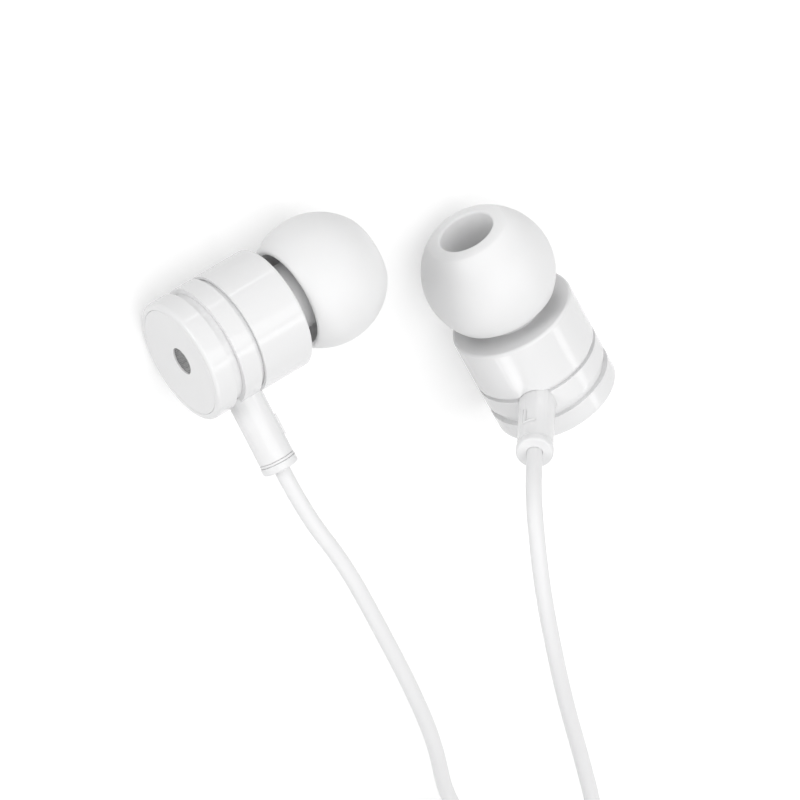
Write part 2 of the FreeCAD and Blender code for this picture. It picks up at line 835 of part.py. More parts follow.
left_tail = [
    left_out,
    (-0.28, -72.99, left_out.z),
    (5.2, -78.2, 3.8),
    (fork_x - branch_x, -82.2, SPLITTER_MID),
    (fork_x - branch_x, fork_y, SPLITTER_MID),
]
main_lead = [
    (fork_x, fork_y - SPLITTER_LENGTH, SPLITTER_MID),
    (fork_x, -105.8, SPLITTER_MID),
    (9.4, main_in.y, MAIN_LOW),
    main_in,
]
plug_x, plug_y = PLUG_PLACE
relief_y = plug_y - HANDLE_LENGTH - RELIEF_LENGTH
main_tail = [
    main_out,
    (-15.5, main_out.y, main_out.z),
    (-23.5, -109.6, 5.0),
    (plug_x, -104.5, 3.2),
    (plug_x, -98.5, HANDLE_R),
    (plug_x, relief_y, HANDLE_R),
]
parts["right_cable_run"] = run_tube("right_cable_run", right_route, BRANCH_D)
parts["left_cable_run"] = run_tube("left_cable_run", left_route, BRANCH_D)
parts["right_cable_tail"] = run_tube("right_cable_tail", right_tail, BRANCH_D)
parts["left_cable_tail"] = run_tube("left_cable_tail", left_tail, BRANCH_D)
parts["main_cable_lead"] = run_tube("main_cable_lead", main_lead, MAIN_D)
parts["main_cable_tail"] = run_tube("main_cable_tail", main_tail, MAIN_D)
parts["cable_splitter"] = splitter()

for name, piece in plug_pieces().items():
    piece.rotate(Vector(0, 0, 0), Vector(1, 0, 0), -90)
    piece.translate(Vector(plug_x, plug_y, HANDLE_R))
    parts[name] = piece

os.makedirs("parts", exist_ok=True)
for name, shape in parts.items():
    shape.exportStep("parts/" + name + ".step")
print(len(parts), "pieces")
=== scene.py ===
# %% [markdown]
# These are wired in-ear earphones: two white buds with soft tips, each on its own thin lead. The imported model
# gives every piece its real size and place, so it is loaded first, and what is modelled here goes where it says.

# %% Load the frame
import json
import math

import bpy
from mathutils import Matrix, Quaternion, Vector

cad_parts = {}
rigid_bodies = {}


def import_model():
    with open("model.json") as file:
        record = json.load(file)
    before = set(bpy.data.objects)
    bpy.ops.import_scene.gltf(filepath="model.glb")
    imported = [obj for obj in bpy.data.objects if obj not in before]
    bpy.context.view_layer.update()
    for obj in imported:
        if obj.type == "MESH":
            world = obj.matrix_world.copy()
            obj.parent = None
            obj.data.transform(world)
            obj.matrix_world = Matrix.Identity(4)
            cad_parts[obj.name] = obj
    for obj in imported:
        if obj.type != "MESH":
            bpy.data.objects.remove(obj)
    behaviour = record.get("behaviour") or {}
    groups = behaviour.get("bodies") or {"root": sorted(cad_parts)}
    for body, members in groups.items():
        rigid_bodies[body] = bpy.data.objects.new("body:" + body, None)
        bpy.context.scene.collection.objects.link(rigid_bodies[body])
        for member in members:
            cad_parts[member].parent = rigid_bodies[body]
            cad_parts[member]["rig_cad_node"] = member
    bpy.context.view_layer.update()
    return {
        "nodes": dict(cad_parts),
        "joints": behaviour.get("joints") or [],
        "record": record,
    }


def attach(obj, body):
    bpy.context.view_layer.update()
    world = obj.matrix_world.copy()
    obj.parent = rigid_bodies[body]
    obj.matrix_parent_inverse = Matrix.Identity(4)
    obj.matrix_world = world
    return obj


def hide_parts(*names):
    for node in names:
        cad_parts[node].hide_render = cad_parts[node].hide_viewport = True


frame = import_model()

MM = 0.001
SIDES = ("right", "left")
print("pieces:", len(frame["nodes"]))

# %% [markdown]
# An operator works on everything that is selected, and the loaded pieces arrive selected. This small helper
# clears the selection and makes one object the active one.

# %% Selecting one object
def pick(piece=None):
    """Deselects everything, then selects one piece and makes it active."""
    bpy.ops.object.select_all(action="DESELECT")
    if piece is not None:
        piece.select_set(True)
        bpy.context.view_layer.objects.active = piece
    return piece

# %% [markdown]
# The photograph looks down on the buds from behind the right one, with a long lens, and the picture is turned
# well over. A camera is easiest to place by three angles: round the object, above the table and about its own
# line of sight. A distance of one metre with a narrow lens keeps the perspective as flat as in the photograph.

# %% Camera
PICTURE_PIXELS = 800
SENSOR_MM = 36.0
VIEW_CENTRE = Vector((2.24, -9.43, 0.0)) * MM
VIEW_DISTANCE = 1.0
VIEW_AZIMUTH = math.radians(129.4)
VIEW_ELEVATION = math.radians(52.09)
VIEW_ROLL = math.radians(115.61)
FOCAL_PIXELS = 11038.5


def camera_axes(azimuth, elevation, roll):
    """Right, up and toward-the-viewer directions of a camera."""
    toward = Vector((
        math.cos(elevation) * math.cos(azimuth),
        math.cos(elevation) * math.sin(azimuth),
        math.sin(elevation),
    ))
    level = Vector((-math.sin(azimuth), math.cos(azimuth), 0.0))
    upright = toward.cross(level)
    right = level * math.cos(roll) + upright * math.sin(roll)
    return right, toward.cross(right), toward


cam_right, cam_up, cam_toward = camera_axes(VIEW_AZIMUTH, VIEW_ELEVATION, VIEW_ROLL)
eye = VIEW_CENTRE + cam_toward * VIEW_DISTANCE
pick()
bpy.ops.object.camera_add(location=eye)
camera = bpy.context.object
camera.matrix_world = Matrix.Translation(eye) @ Matrix((cam_right, cam_up, cam_toward)).transposed().to_4x4()
camera.data.sensor_width = SENSOR_MM
camera.data.lens = FOCAL_PIXELS * SENSOR_MM / PICTURE_PIXELS
bpy.context.scene.camera = camera
print("camera looks along", [round(-x, 3) for x in cam_toward])

# %% [markdown]
# The picture is white on white, so light and floor are a matter of care. The floor takes the shadow of the buds,
# and a little glow lifts it to white. A Light Path node gives that glow to the camera, to mirror rays and to clear
# parts alone, so that no extra light falls on the object.

# %% Floor
FLOOR_SIZE = 4.0
FLOOR_DROP = 0.0002
FLOOR_TONE = 0.6
WHITE_GLOW = 0.5
bpy.context.scene.view_settings.view_transform = "Standard"


def seen_glow(tree, level):
    """Value that is level for the camera, for mirror rays and for clear parts, and 0 for all other light."""
    path = tree.nodes.new("ShaderNodeLightPath")
    either = tree.nodes.new("ShaderNodeMath")
    either.operation = "MAXIMUM"
    tree.links.new(path.outputs["Is Camera Ray"], either.inputs[0])
    tree.links.new(path.outputs["Is Transmission Ray"], either.inputs[1])
    any_ray = tree.nodes.new("ShaderNodeMath")
    any_ray.operation = "MAXIMUM"
    tree.links.new(either.outputs[0], any_ray.inputs[0])
    tree.links.new(path.outputs["Is Glossy Ray"], any_ray.inputs[1])
    glow = tree.nodes.new("ShaderNodeMath")
    glow.operation = "MULTIPLY"
    glow.inputs[1].default_value = level
    tree.links.new(any_ray.outputs[0], glow.inputs[0])
    return glow.outputs[0]


pick()
bpy.ops.mesh.primitive_plane_add(size=FLOOR_SIZE, location=(0, 0, -FLOOR_DROP))
floor = bpy.context.object
floor.name = "floor"
floor_paint = bpy.data.materials.new("white table")
floor_paint.use_nodes = True
paper = floor_paint.node_tree.nodes["Principled BSDF"]
paper.inputs["Base Color"].default_value = (FLOOR_TONE, FLOOR_TONE, FLOOR_TONE, 1)
paper.inputs["Roughness"].default_value = 0.9
paper.inputs["Specular IOR Level"].default_value = 0.1
paper.inputs["Emission Color"].default_value = (1, 1, 1, 1)
floor_paint.node_tree.links.new(seen_glow(floor_paint.node_tree, WHITE_GLOW), paper.inputs["Emission Strength"])
floor.data.materials.append(floor_paint)
print("floor:", FLOOR_SIZE, "m square, tone", FLOOR_TONE)

# %% [markdown]
# The world gives an even, soft level from all sides, as the white walls of a small studio do. What the camera sees
# of it is pure white: the same glow makes up the difference.

# %% World
WORLD_LEVEL = 0.57
world = bpy.data.worlds.new("studio")
bpy.context.scene.world = world
world.use_nodes = True
sky = world.node_tree.nodes["Background"]
sky.inputs["Color"].default_value = (1, 1, 1, 1)
lift = world.node_tree.nodes.new("ShaderNodeMath")
lift.operation = "ADD"
lift.inputs[1].default_value = WORLD_LEVEL
world.node_tree.links.new(seen_glow(world.node_tree, 1 - WORLD_LEVEL), lift.inputs[0])
world.node_tree.links.new(lift.outputs[0], sky.inputs["Strength"])
print("world level:", WORLD_LEVEL)

# %% [markdown]
# Soft boxes model the buds. A large one overhead and one at the side give broad, soft shading. Three narrow strips
# are there for the gloss alone: a round shell mirrors a strip as one long bright line, which lies where the strip's
# direction puts it. A strip is turned about its own line of sight until that line runs along the shell.

# %% Soft boxes
def soft_box(name, direction, distance, width, height, power, roll=0.0):
    """Rectangular lamp, in metres and watts, that faces the buds from a direction. Roll turns it as it looks."""
    away = Vector(direction).normalized()
    pick()
    bpy.ops.object.light_add(type="AREA", location=away * distance)
    lamp = bpy.context.object
    lamp.name = name
    lamp.data.shape = "RECTANGLE"
    lamp.data.size = width
    lamp.data.size_y = height
    lamp.data.energy = power
    lamp.rotation_mode = "QUATERNION"
    lamp.rotation_quaternion = away.to_track_quat("Z", "Y") @ Quaternion((0, 0, 1), math.radians(roll))
    return lamp


soft_box("overhead box", (-0.1, 0.12, 0.98), 1.2, 1.3, 1.0, 6.2)
soft_box("side box", (-0.8, 0.58, 0.1), 1.2, 0.5, 0.5, 4.8)
soft_box("edge strip behind", (0.38, 0.92, 0.035), 1.0, 0.8, 0.05, 0.5)
soft_box("edge strip right", (0.5, -0.31, 0.81), 1.0, 0.2, 0.6, 1.0, roll=-15.2)
soft_box("edge strip front", (-0.66, -0.69, 0.29), 1.0, 0.08, 0.6, 0.55)

# %% [markdown]
# Moulded plastic and rubber are never perfectly even: the surface has a faint orange-peel swell, fine grain and
# patches that are a little duller. The same three effects serve every white finish, so they are built once as a
# shader group with named inputs, and each material places it with its own values.

# %% Moulded surface group
def new_group(name, inputs, outputs):
    """Shader group with value inputs and named outputs, and its two end nodes."""
    group = bpy.data.node_groups.new(name, "ShaderNodeTree")
    for label, value in inputs:
        socket = group.interface.new_socket(name=label, in_out="INPUT", socket_type="NodeSocketFloat")
        socket.default_value = value
    for label, kind in outputs:
        group.interface.new_socket(name=label, in_out="OUTPUT", socket_type=kind)
    return group, group.nodes.new("NodeGroupInput"), group.nodes.new("NodeGroupOutput")


def noise_at(tree, coordinates, scale_socket, detail, roughness):
    """Noise on object coordinates with its scale taken from a socket."""
    noise = tree.nodes.new("ShaderNodeTexNoise")
    noise.inputs["Detail"].default_value = detail
    noise.inputs["Roughness"].default_value = roughness
    tree.links.new(coordinates, noise.inputs["Vector"])
    tree.links.new(scale_socket, noise.inputs["Scale"])
    return noise.outputs["Fac"]


def mapped(tree, value, low, high):
    """Maps a 0 to 1 value onto low to high, where either may be a socket."""
    node = tree.nodes.new("ShaderNodeMapRange")
    tree.links.new(value, node.inputs["Value"])
    for label, end in (("To Min", low), ("To Max", high)):
        if isinstance(end, bpy.types.NodeSocket):
            tree.links.new(end, node.inputs[label])
        else:
            node.inputs[label].default_value = end
    return node.outputs["Result"]


moulded, inside, outside = new_group(
    "moulded surface",
    [("Swell Scale", 400.0), ("Grain Scale", 9000.0), ("Dull Scale", 120.0), ("Gloss Low", 0.2),
     ("Gloss High", 0.3), ("Swell Share", 0.5)],
    [("Roughness", "NodeSocketFloat"), ("Height", "NodeSocketFloat"), ("Tone", "NodeSocketFloat")],
)
where = moulded.nodes.new("ShaderNodeTexCoord").outputs["Object"]
swell = noise_at(moulded, where, inside.outputs["Swell Scale"], detail=1.0, roughness=0.4)
grain = noise_at(moulded, where, inside.outputs["Grain Scale"], detail=2.0, roughness=0.6)
dull = noise_at(moulded, where, inside.outputs["Dull Scale"], detail=3.0, roughness=0.55)
blend_height = moulded.nodes.new("ShaderNodeMix")
moulded.links.new(inside.outputs["Swell Share"], blend_height.inputs["Factor"])
moulded.links.new(grain, blend_height.inputs["A"])
moulded.links.new(swell, blend_height.inputs["B"])
moulded.links.new(blend_height.outputs["Result"], outside.inputs["Height"])
moulded.links.new(mapped(moulded, dull, inside.outputs["Gloss Low"], inside.outputs["Gloss High"]),
                  outside.inputs["Roughness"])
moulded.links.new(dull, outside.inputs["Tone"])
print("group:", moulded.name, "gives", [item.name for item in moulded.interface.items_tree if item.in_out == "OUTPUT"])

# %% [markdown]
# The vent and the nozzle are closed by a fine screen, a plate full of tiny round holes. Cells of even size are
# found with a Voronoi texture, and near the middle of each cell is a hole. The group gives a mask that is 1 on the
# plate and 0 in a hole, which serves both as its height and to lay painted shade in the holes.

# %% Fine screen group
CELL_UNEVENNESS = 0.25
HOLE_RIM = 0.1
holes, inside, outside = new_group("fine screen", [("Holes Per Metre", 4200.0), ("Hole Size", 0.36)],
                                   [("Plate", "NodeSocketFloat")])
cells = holes.nodes.new("ShaderNodeTexVoronoi")
cells.inputs["Randomness"].default_value = CELL_UNEVENNESS
holes.links.new(holes.nodes.new("ShaderNodeTexCoord").outputs["Object"], cells.inputs["Vector"])
holes.links.new(inside.outputs["Holes Per Metre"], cells.inputs["Scale"])
rim = holes.nodes.new("ShaderNodeMapRange")
rim.interpolation_type = "SMOOTHSTEP"
rim_end = holes.nodes.new("ShaderNodeMath")
rim_end.inputs[1].default_value = HOLE_RIM
holes.links.new(inside.outputs["Hole Size"], rim_end.inputs[0])
holes.links.new(cells.outputs["Distance"], rim.inputs["Value"])
holes.links.new(inside.outputs["Hole Size"], rim.inputs["From Min"])
holes.links.new(rim_end.outputs[0], rim.inputs["From Max"])
holes.links.new(rim.outputs["Result"], outside.inputs["Plate"])
print("group:", holes.name)

# %% [markdown]
# With the group in place, a finish is a few numbers: two close tones of its colour, how rough it is at its
# glossiest and dullest, and how deep the bump goes. Silicone and the cable jacket let a little light in, which
# softens their shading, and the shells have a clear gloss on top.

# %% Finish maker
COAT_ROUGHNESS = 0.06
LIGHT_REACH = 1.5 * MM


def finish(name, tones, gloss, bump, scales=(400.0, 9000.0, 120.0), swell=0.5, metallic=0.0, coat=0.0,
           translucent=0.0, sheen=0.0, ior=1.46):
    """Material with the moulded surface group: two tones, a gloss range and a bump distance in metres."""
    material = bpy.data.materials.new(name)
    material.use_nodes = True
    tree = material.node_tree
    skin = tree.nodes["Principled BSDF"]
    surface = tree.nodes.new("ShaderNodeGroup")
    surface.node_tree = moulded
    for label, value in zip(("Swell Scale", "Grain Scale", "Dull Scale"), scales):
        surface.inputs[label].default_value = value
    surface.inputs["Gloss Low"].default_value = gloss[0]
    surface.inputs["Gloss High"].default_value = gloss[1]
    surface.inputs["Swell Share"].default_value = swell
    tone = tree.nodes.new("ShaderNodeMix")
    tone.data_type = "RGBA"
    tone.inputs["A"].default_value = (*tones[0], 1)
    tone.inputs["B"].default_value = (*tones[1], 1)
    relief = tree.nodes.new("ShaderNodeBump")
    relief.inputs["Strength"].default_value = 1.0
    relief.inputs["Distance"].default_value = bump
    tree.links.new(surface.outputs["Tone"], tone.inputs["Factor"])
    tree.links.new(tone.outputs["Result"], skin.inputs["Base Color"])
    tree.links.new(surface.outputs["Roughness"], skin.inputs["Roughness"])
    tree.links.new(surface.outputs["Height"], relief.inputs["Height"])
    tree.links.new(relief.outputs["Normal"], skin.inputs["Normal"])
    skin.inputs["Metallic"].default_value = metallic
    skin.inputs["Coat Weight"].default_value = coat
    skin.inputs["Coat Roughness"].default_value = COAT_ROUGHNESS
    skin.inputs["IOR"].default_value = ior
    skin.inputs["Sheen Weight"].default_value = sheen
    skin.inputs["Subsurface Weight"].default_value = translucent
    skin.inputs["Subsurface Radius"].default_value = (1.0, 1.0, 1.0)
    skin.inputs["Subsurface Scale"].default_value = LIGHT_REACH
    return material

# %% [markdown]
# A screen is a plain finish with the fine screen laid over it. The group's mask does two things: it paints shade into
# the holes by darkening their colour, and it sinks them, through a second bump that takes the first one's normal.

# %% Screened finishes
HOLE_DEPTH = 5.0e-5


def screened(material, hole_shade):
    """Adds the fine screen to a finish: holes painted dark as painted shade, sunk in its surface."""
    tree = material.node_tree
    skin = tree.nodes["Principled BSDF"]
    screen = tree.nodes.new("ShaderNodeGroup")
    screen.node_tree = holes
    painted_hole_shade = tree.nodes.new("ShaderNodeMix")
    painted_hole_shade.data_type = "RGBA"
    painted_hole_shade.inputs["A"].default_value = (hole_shade, hole_shade, hole_shade, 1)
    sunk = tree.nodes.new("ShaderNodeBump")
    sunk.inputs["Distance"].default_value = HOLE_DEPTH
    tree.links.new(screen.outputs["Plate"], painted_hole_shade.inputs["Factor"])
    tree.links.new(skin.inputs["Base Color"].links[0].from_socket, painted_hole_shade.inputs["B"])
    tree.links.new(painted_hole_shade.outputs["Result"], skin.inputs["Base Color"])
    tree.links.new(screen.outputs["Plate"], sunk.inputs["Height"])
    tree.links.new(skin.inputs["Normal"].links[0].from_socket, sunk.inputs["Normal"])
    tree.links.new(sunk.outputs["Normal"], skin.inputs["Normal"])
    return material

# %% [markdown]
# The real object needs sixteen finishes, from the glossy shell to the parts inside it that are never seen. Each has
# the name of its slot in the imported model, so every loaded piece can be painted at once by what its record says.

# %% The finishes
def greys(low, high):
    """Two neutral tones, a shade cooler than pure grey as white plastic is."""
    return ((low, low, low * 1.004), (high, high, high * 1.004))


FINISH = {
    "shell_white": finish("gloss white shell", greys(0.84, 0.87), (0.1, 0.17), 1.0e-6, swell=0.8, coat=0.15,
                          ior=1.38),
    "collar_white": finish("satin white collar", greys(0.83, 0.86), (0.3, 0.38), 1.5e-6),
    "tip_silicone": finish("white silicone", greys(0.92, 0.95), (0.34, 0.44), 2.0e-6, translucent=0.5, sheen=0.05,
                           ior=1.4),
    "cable_jacket": finish("soft white jacket", greys(0.83, 0.87), (0.4, 0.52), 3.0e-6, translucent=0.15),
    # The holes of both screens are painted near black, as painted shade of the space behind them.
    "vent_mesh": screened(finish("grey vent screen", greys(0.3, 0.42), (0.5, 0.7), 4.0e-6), 0.05),
    "nozzle_mesh": screened(finish("steel nozzle mesh", greys(0.5, 0.62), (0.28, 0.4), 4.0e-6, metallic=1.0), 0.03),
    "damper_foam": finish("dark foam", greys(0.05, 0.12), (0.9, 1.0), 4.0e-5, (3000.0, 9000.0, 2500.0)),
    "driver_plastic": finish("black moulding", greys(0.02, 0.035), (0.4, 0.5), 2.0e-6),
    "driver_steel": finish("zinc plated steel", greys(0.5, 0.62), (0.25, 0.4), 1.5e-6, metallic=1.0),
    "magnet": finish("nickel plated magnet", greys(0.55, 0.66), (0.12, 0.2), 1.0e-6, metallic=1.0),
    "coil_copper": finish("enamelled copper", ((0.62, 0.27, 0.12), (0.75, 0.38, 0.2)), (0.2, 0.3), 5.0e-6,
                          (2000.0, 9000.0, 400.0), metallic=1.0),
    "diaphragm_film": finish("polyester film", greys(0.6, 0.68), (0.08, 0.16), 1.0e-6),
    "gasket_rubber": finish("soft black seal", greys(0.02, 0.04), (0.6, 0.75), 4.0e-6),
    "board_green": finish("green solder mask", ((0.01, 0.12, 0.04), (0.02, 0.2, 0.07)), (0.25, 0.4), 1.5e-6),
    "plug_contact": finish("nickel plated contact", greys(0.62, 0.72), (0.1, 0.18), 8.0e-7, metallic=1.0),
    "plug_insulator": finish("white insulating ring", greys(0.8, 0.84), (0.35, 0.45), 2.0e-6),
}


def paint(piece, slot_name):
    """Gives a piece the finish of the record's slot that it stands for."""
    piece.data.materials.clear()
    piece.data.materials.append(FINISH[slot_name])


nodes = frame["nodes"]
for part in frame["record"]["subparts"]:
    paint(nodes[part["node"]], part["material_slot"])
print("finishes:", len(FINISH))

# %% [markdown]
# Each bud has a frame of its own: Z along its axis towards the ear tip, X out along the stem. It is worked out
# from the joint that lets the ear tip slide, from the ear mount at the tip's nose, and from the roll of the stem
# about the bud's axis. Everything on a bud is modelled in millimetres in that frame and then seated.

# %% Bud frames
TIP_NOSE = 15.45
STEM_SET_BACK = 1.0
STEM_ROLL = {"right": 159.2, "left": 49.3}
mounts = {mount["name"]: mount for mount in frame["record"]["mounts"]}
joints = {joint["name"]: joint for joint in frame["joints"]}


def bud_frame(side):
    """Matrix from a bud's own millimetres to the model's metres."""
    axis = Vector(joints[side + "_tip_pull_off"]["axis"]).normalized()
    nose = Vector(mounts[side + "_ear"]["pos_m"])
    heading = math.atan2(axis.y, axis.x)
    across = Vector((-math.sin(heading), math.cos(heading), 0.0))
    roll = math.radians(STEM_ROLL[side])
    stem = across * math.cos(roll) + axis.cross(across) * math.sin(roll)
    turn = Matrix((stem, axis.cross(stem), axis)).transposed().to_4x4()
    return Matrix.Translation(nose - axis * TIP_NOSE * MM) @ turn @ Matrix.Scale(MM, 4)


BUD = {side: bud_frame(side) for side in SIDES}
for side in SIDES:
    print(side, "bud centre in mm:", [round(x / MM, 2) for x in BUD[side].translation])

# %% [markdown]
# A lead is a fixed length of soft cable. Its line is one smooth curve with a few control points: straight out of
# the stem, up and over in the loose bend of the photograph, down to the table, and then the length that the
# picture does not show, wound into a neat coil. A round bevel on a curve makes the cable in one step, and the
# curve's own line stays exact for measuring. The coils are worked out first, layer upon layer.

# %% Coils
COIL_CLEAR = 0.47
POINTS_PER_TURN = 16
STEPS_PER_QUARTER = POINTS_PER_TURN // 4
CORNER_CUT = math.cos(math.pi / POINTS_PER_TURN)
TABLE_GAP = 0.005
BRANCH_D = 1.45
MAIN_D = 2.0


def coil_height_and_radius(q, turns, layers, middle_r, pitch):
    """Radius and height after q quarter turns: in and out at a steady rate, up a layer at each reversal."""
    sweep = (4 * turns - 2 * (layers - 1)) / layers
    radius = middle_r + pitch * (sweep + 1) / 8
    height = 0.0
    last = 0.0
    for layer in range(layers):
        way = 1 if layer % 2 else -1
        turn_back = sweep + 1 + layer * (sweep + 2)
        end = 4 * turns if layer == layers - 1 else turn_back
        radius += way * pitch / 4 * (min(max(q, last), end) - last)
        if layer < layers - 1:
            rise = min(max((q - turn_back + 1) / 2, 0.0), 1.0)
            height += pitch * rise * rise * (3 - 2 * rise)
        last = end
    return radius, height


def coil_points(place, low, start_angle, turns, layers, middle_r, diameter):
    """Control points of a clockwise coil. They stand on corners whose sides touch the coil's circle, and a point
    one diameter before it and one after it keep the ends straight."""
    pitch = diameter + COIL_CLEAR

    def spot(q, reach=1.0, ahead=0.0):
        radius, height = coil_height_and_radius(q, turns, layers, middle_r, pitch)
        angle = math.radians(start_angle) - q * math.pi / 2
        out = Vector((math.cos(angle), math.sin(angle), 0.0))
        along = Vector((out.y, -out.x, 0.0))
        return Vector((*place, low + height)) + out * (radius * reach) + along * (ahead * diameter)

    steps = int(round(4 * turns)) * STEPS_PER_QUARTER
    corners = [spot((k + 0.5) / STEPS_PER_QUARTER, 1 / CORNER_CUT) for k in range(steps)]
    return [spot(0.0, ahead=-1.0)] + corners + [spot(4 * turns, ahead=1.0)]


BRANCH_LOW = BRANCH_D / 2 + TABLE_GAP
BRANCH_HIGH = BRANCH_LOW + 2 * (BRANCH_D + COIL_CLEAR)
MAIN_LOW = MAIN_D / 2 + TABLE_GAP
right_coil = coil_points((-11.8, -63.5), BRANCH_LOW, 22.0, 5.0, 2, 8.0, BRANCH_D)
left_coil = coil_points((-8.4, -63.1), BRANCH_HIGH, -15.0, 5.0, 2, 8.0, BRANCH_D)
main_coil = coil_points((-8.0, -94.5), MAIN_LOW, -90.0, 11.0, 4, 12.0, MAIN_D)
print("coils start at", [[round(x, 2) for x in c[0]] for c in (right_coil, left_coil, main_coil)])

# %% [markdown]
# The free stretches are short lists of points, given one by one to follow the photograph. The first two lie on the
# stem's own line, so the cable leaves the collar straight. The branch leads end side by side in the splitter,
# and the main lead starts from its other end.

# %% Routes
COLLAR_END = 12.85
SPLITTER_LENGTH = 13.0
SPLITTER_MID = 1.75
BRANCH_PITCH = 2.5
HANDLE_R = 2.75
FORK = (12.8, -88.0)
RELIEF_END = (-28.2, -95.0, HANDLE_R)


def mouth(side, further=0.0):
    """Point on the stem's line at the collar's mouth or further out, in millimetres of the model."""
    return BUD[side] @ Vector((COLLAR_END + further, 0.0, -STEM_SET_BACK)) / MM


right_points = [
    mouth("right"),
    mouth("right", 4.5),
    (-14.6, -13.1, 13.2),
    (-13.1, -20.9, 12.7),
    (-11.2, -29.1, 11.0),
    (-9.1, -37.8, 7.8),
    (-7.6, -46.7, 3.1),
    (-4.18, -54.6, BRANCH_LOW),
] + right_coil + [
    (1.2, -68.0, right_coil[-1].z),
    (8.5, -76.5, 2.1),
    (FORK[0] + BRANCH_PITCH / 2, -82.4, SPLITTER_MID),
    (FORK[0] + BRANCH_PITCH / 2, FORK[1], SPLITTER_MID),
]
left_points = [
    mouth("left"),
    mouth("left", 4.6),
    (0.5, -15.9, 21.2),
    (-0.9, -21.0, 21.7),
    (-1.0, -27.6, 20.4),
    (0.2, -35.7, 16.9),
    (2.5, -45.2, 11.9),
    (4.6, -54.7, 6.9),
    (3.1, -60.3, BRANCH_HIGH),
] + left_coil + [
    (-0.28, -72.99, left_coil[-1].z),
    (5.2, -78.2, 3.8),
    (FORK[0] - BRANCH_PITCH / 2, -82.2, SPLITTER_MID),
    (FORK[0] - BRANCH_PITCH / 2, FORK[1], SPLITTER_MID),
]
main_points = [
    (FORK[0], FORK[1] - SPLITTER_LENGTH, SPLITTER_MID),
    (FORK[0], -105.8, SPLITTER_MID),
    (9.4, main_coil[0].y, MAIN_LOW),
] + main_coil + [
    (-15.5, main_coil[-1].y, main_coil[-1].z),
    (-23.5, -109.6, 5.0),
    (RELIEF_END[0], -104.5, 3.2),
    (RELIEF_END[0], -98.5, HANDLE_R),
    RELIEF_END,
]


def cable(name, points, diameter):
    """One smooth line with a round bevel. The order is set last, because before the points it stays at 2."""
    curve = bpy.data.curves.new(name, "CURVE")
    curve.dimensions = "3D"
    line = curve.splines.new("NURBS")
    line.points.add(len(points) - 1)
    for knot, point in zip(line.points, points):
        knot.co = (*(Vector(point) * MM), 1.0)
    line.order_u = 3
    line.use_endpoint_u = True
    line.resolution_u = 8
    curve.bevel_depth = diameter / 2 * MM
    curve.bevel_resolution = 6
    curve.use_fill_caps = True
    piece = bpy.data.objects.new(name, curve)
    bpy.context.collection.objects.link(piece)
    paint(piece, "cable_jacket")
    return piece


right_lead = cable("right_lead", right_points, BRANCH_D)
left_lead = cable("left_lead", left_points, BRANCH_D)
main_lead = cable("main_lead", main_points, MAIN_D)
print("control points:", [len(lead.data.splines[0].points) for lead in (right_lead, left_lead, main_lead)])

# %% [markdown]
# The leads ride on the earphones body, and each takes the place of its plain tubes and coil in the model, which are
# hidden. Both branches end in the splitter, and the main lead ends in the plug.

for side, lead, length in (("right", right_lead, 0.347), ("left", left_lead, 0.343)):
    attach(lead, "earphones")
    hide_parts(side + "_cable_run", side + "_cable_coil", side + "_cable_tail")
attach(main_lead, "earphones")
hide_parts("main_cable_lead", "main_cable_coil", "main_cable_tail")

# %% [markdown]
# The shell of such a bud is turned or moulded round one axis, so its pieces are rings with a stepped section. A
# lathe is easy to copy by hand: a circle of the first corner's radius is pulled up and widened from corner to
# corner, round the whole section and back to the start, and the last ring is merged with the first one.

# %% Lathe
ROUND_SIDES = 128
MERGE_MM = 0.0005


def pull_ring(outline):
    """Pulls the selected ring through the outline's further corners, given as (radius, height)."""
    radius, height = outline[0]
    for next_radius, next_height in outline[1:]:
        bpy.ops.mesh.extrude_region_move(TRANSFORM_OT_translate={"value": (0, 0, next_height - height)})
        share = next_radius / radius
        bpy.ops.transform.resize(value=(share, share, 1), center_override=(0, 0, next_height))
        radius, height = next_radius, next_height


def lathe(name, outline, closed=True):
    """Solid in millimetres from an outline of (radius, height) corners. An open one gets a face at each end."""
    pick()
    bpy.ops.mesh.primitive_circle_add(
        vertices=ROUND_SIDES, radius=outline[0][0], location=(0, 0, outline[0][1]),
        fill_type="NOTHING" if closed else "NGON",
    )
    piece = bpy.context.object
    piece.name = name
    bpy.ops.object.transform_apply(location=True, rotation=False, scale=False)
    bpy.ops.object.mode_set(mode="EDIT")
    bpy.ops.mesh.select_all(action="SELECT")
    pull_ring(outline + outline[:1] if closed else outline)
    bpy.ops.mesh.select_all(action="SELECT")
    bpy.ops.mesh.remove_doubles(threshold=MERGE_MM)
    bpy.ops.mesh.normals_make_consistent(inside=False)
    bpy.ops.object.mode_set(mode="OBJECT")
    return piece


def arc(centre, radius, start, end, steps):
    """Corners of an arc in a section, with angles in degrees from the radial direction towards the tip."""
    angles = [math.radians(start + (end - start) * k / steps) for k in range(steps + 1)]
    return [(centre[0] + radius * math.cos(a), centre[1] + radius * math.sin(a)) for a in angles]

# %% [markdown]
# No moulded edge is knife sharp, and on white plastic it is the tiny rounds that catch the light and draw the
# outline of each part. So every sharp edge is found by its angle and bevelled a few hundredths of a millimetre.

# %% Rounding
def smooth(piece, sharpness=32):
    """Smooths what is nearly flat. Large faces lead the normals, so that a long wall stays straight in a gloss."""
    pick(piece)
    bpy.ops.object.shade_smooth_by_angle(angle=math.radians(sharpness), keep_sharp_edges=False)
    even = piece.modifiers.new("even", "WEIGHTED_NORMAL")
    even.keep_sharp = True
    bpy.ops.object.modifier_apply(modifier=even.name)


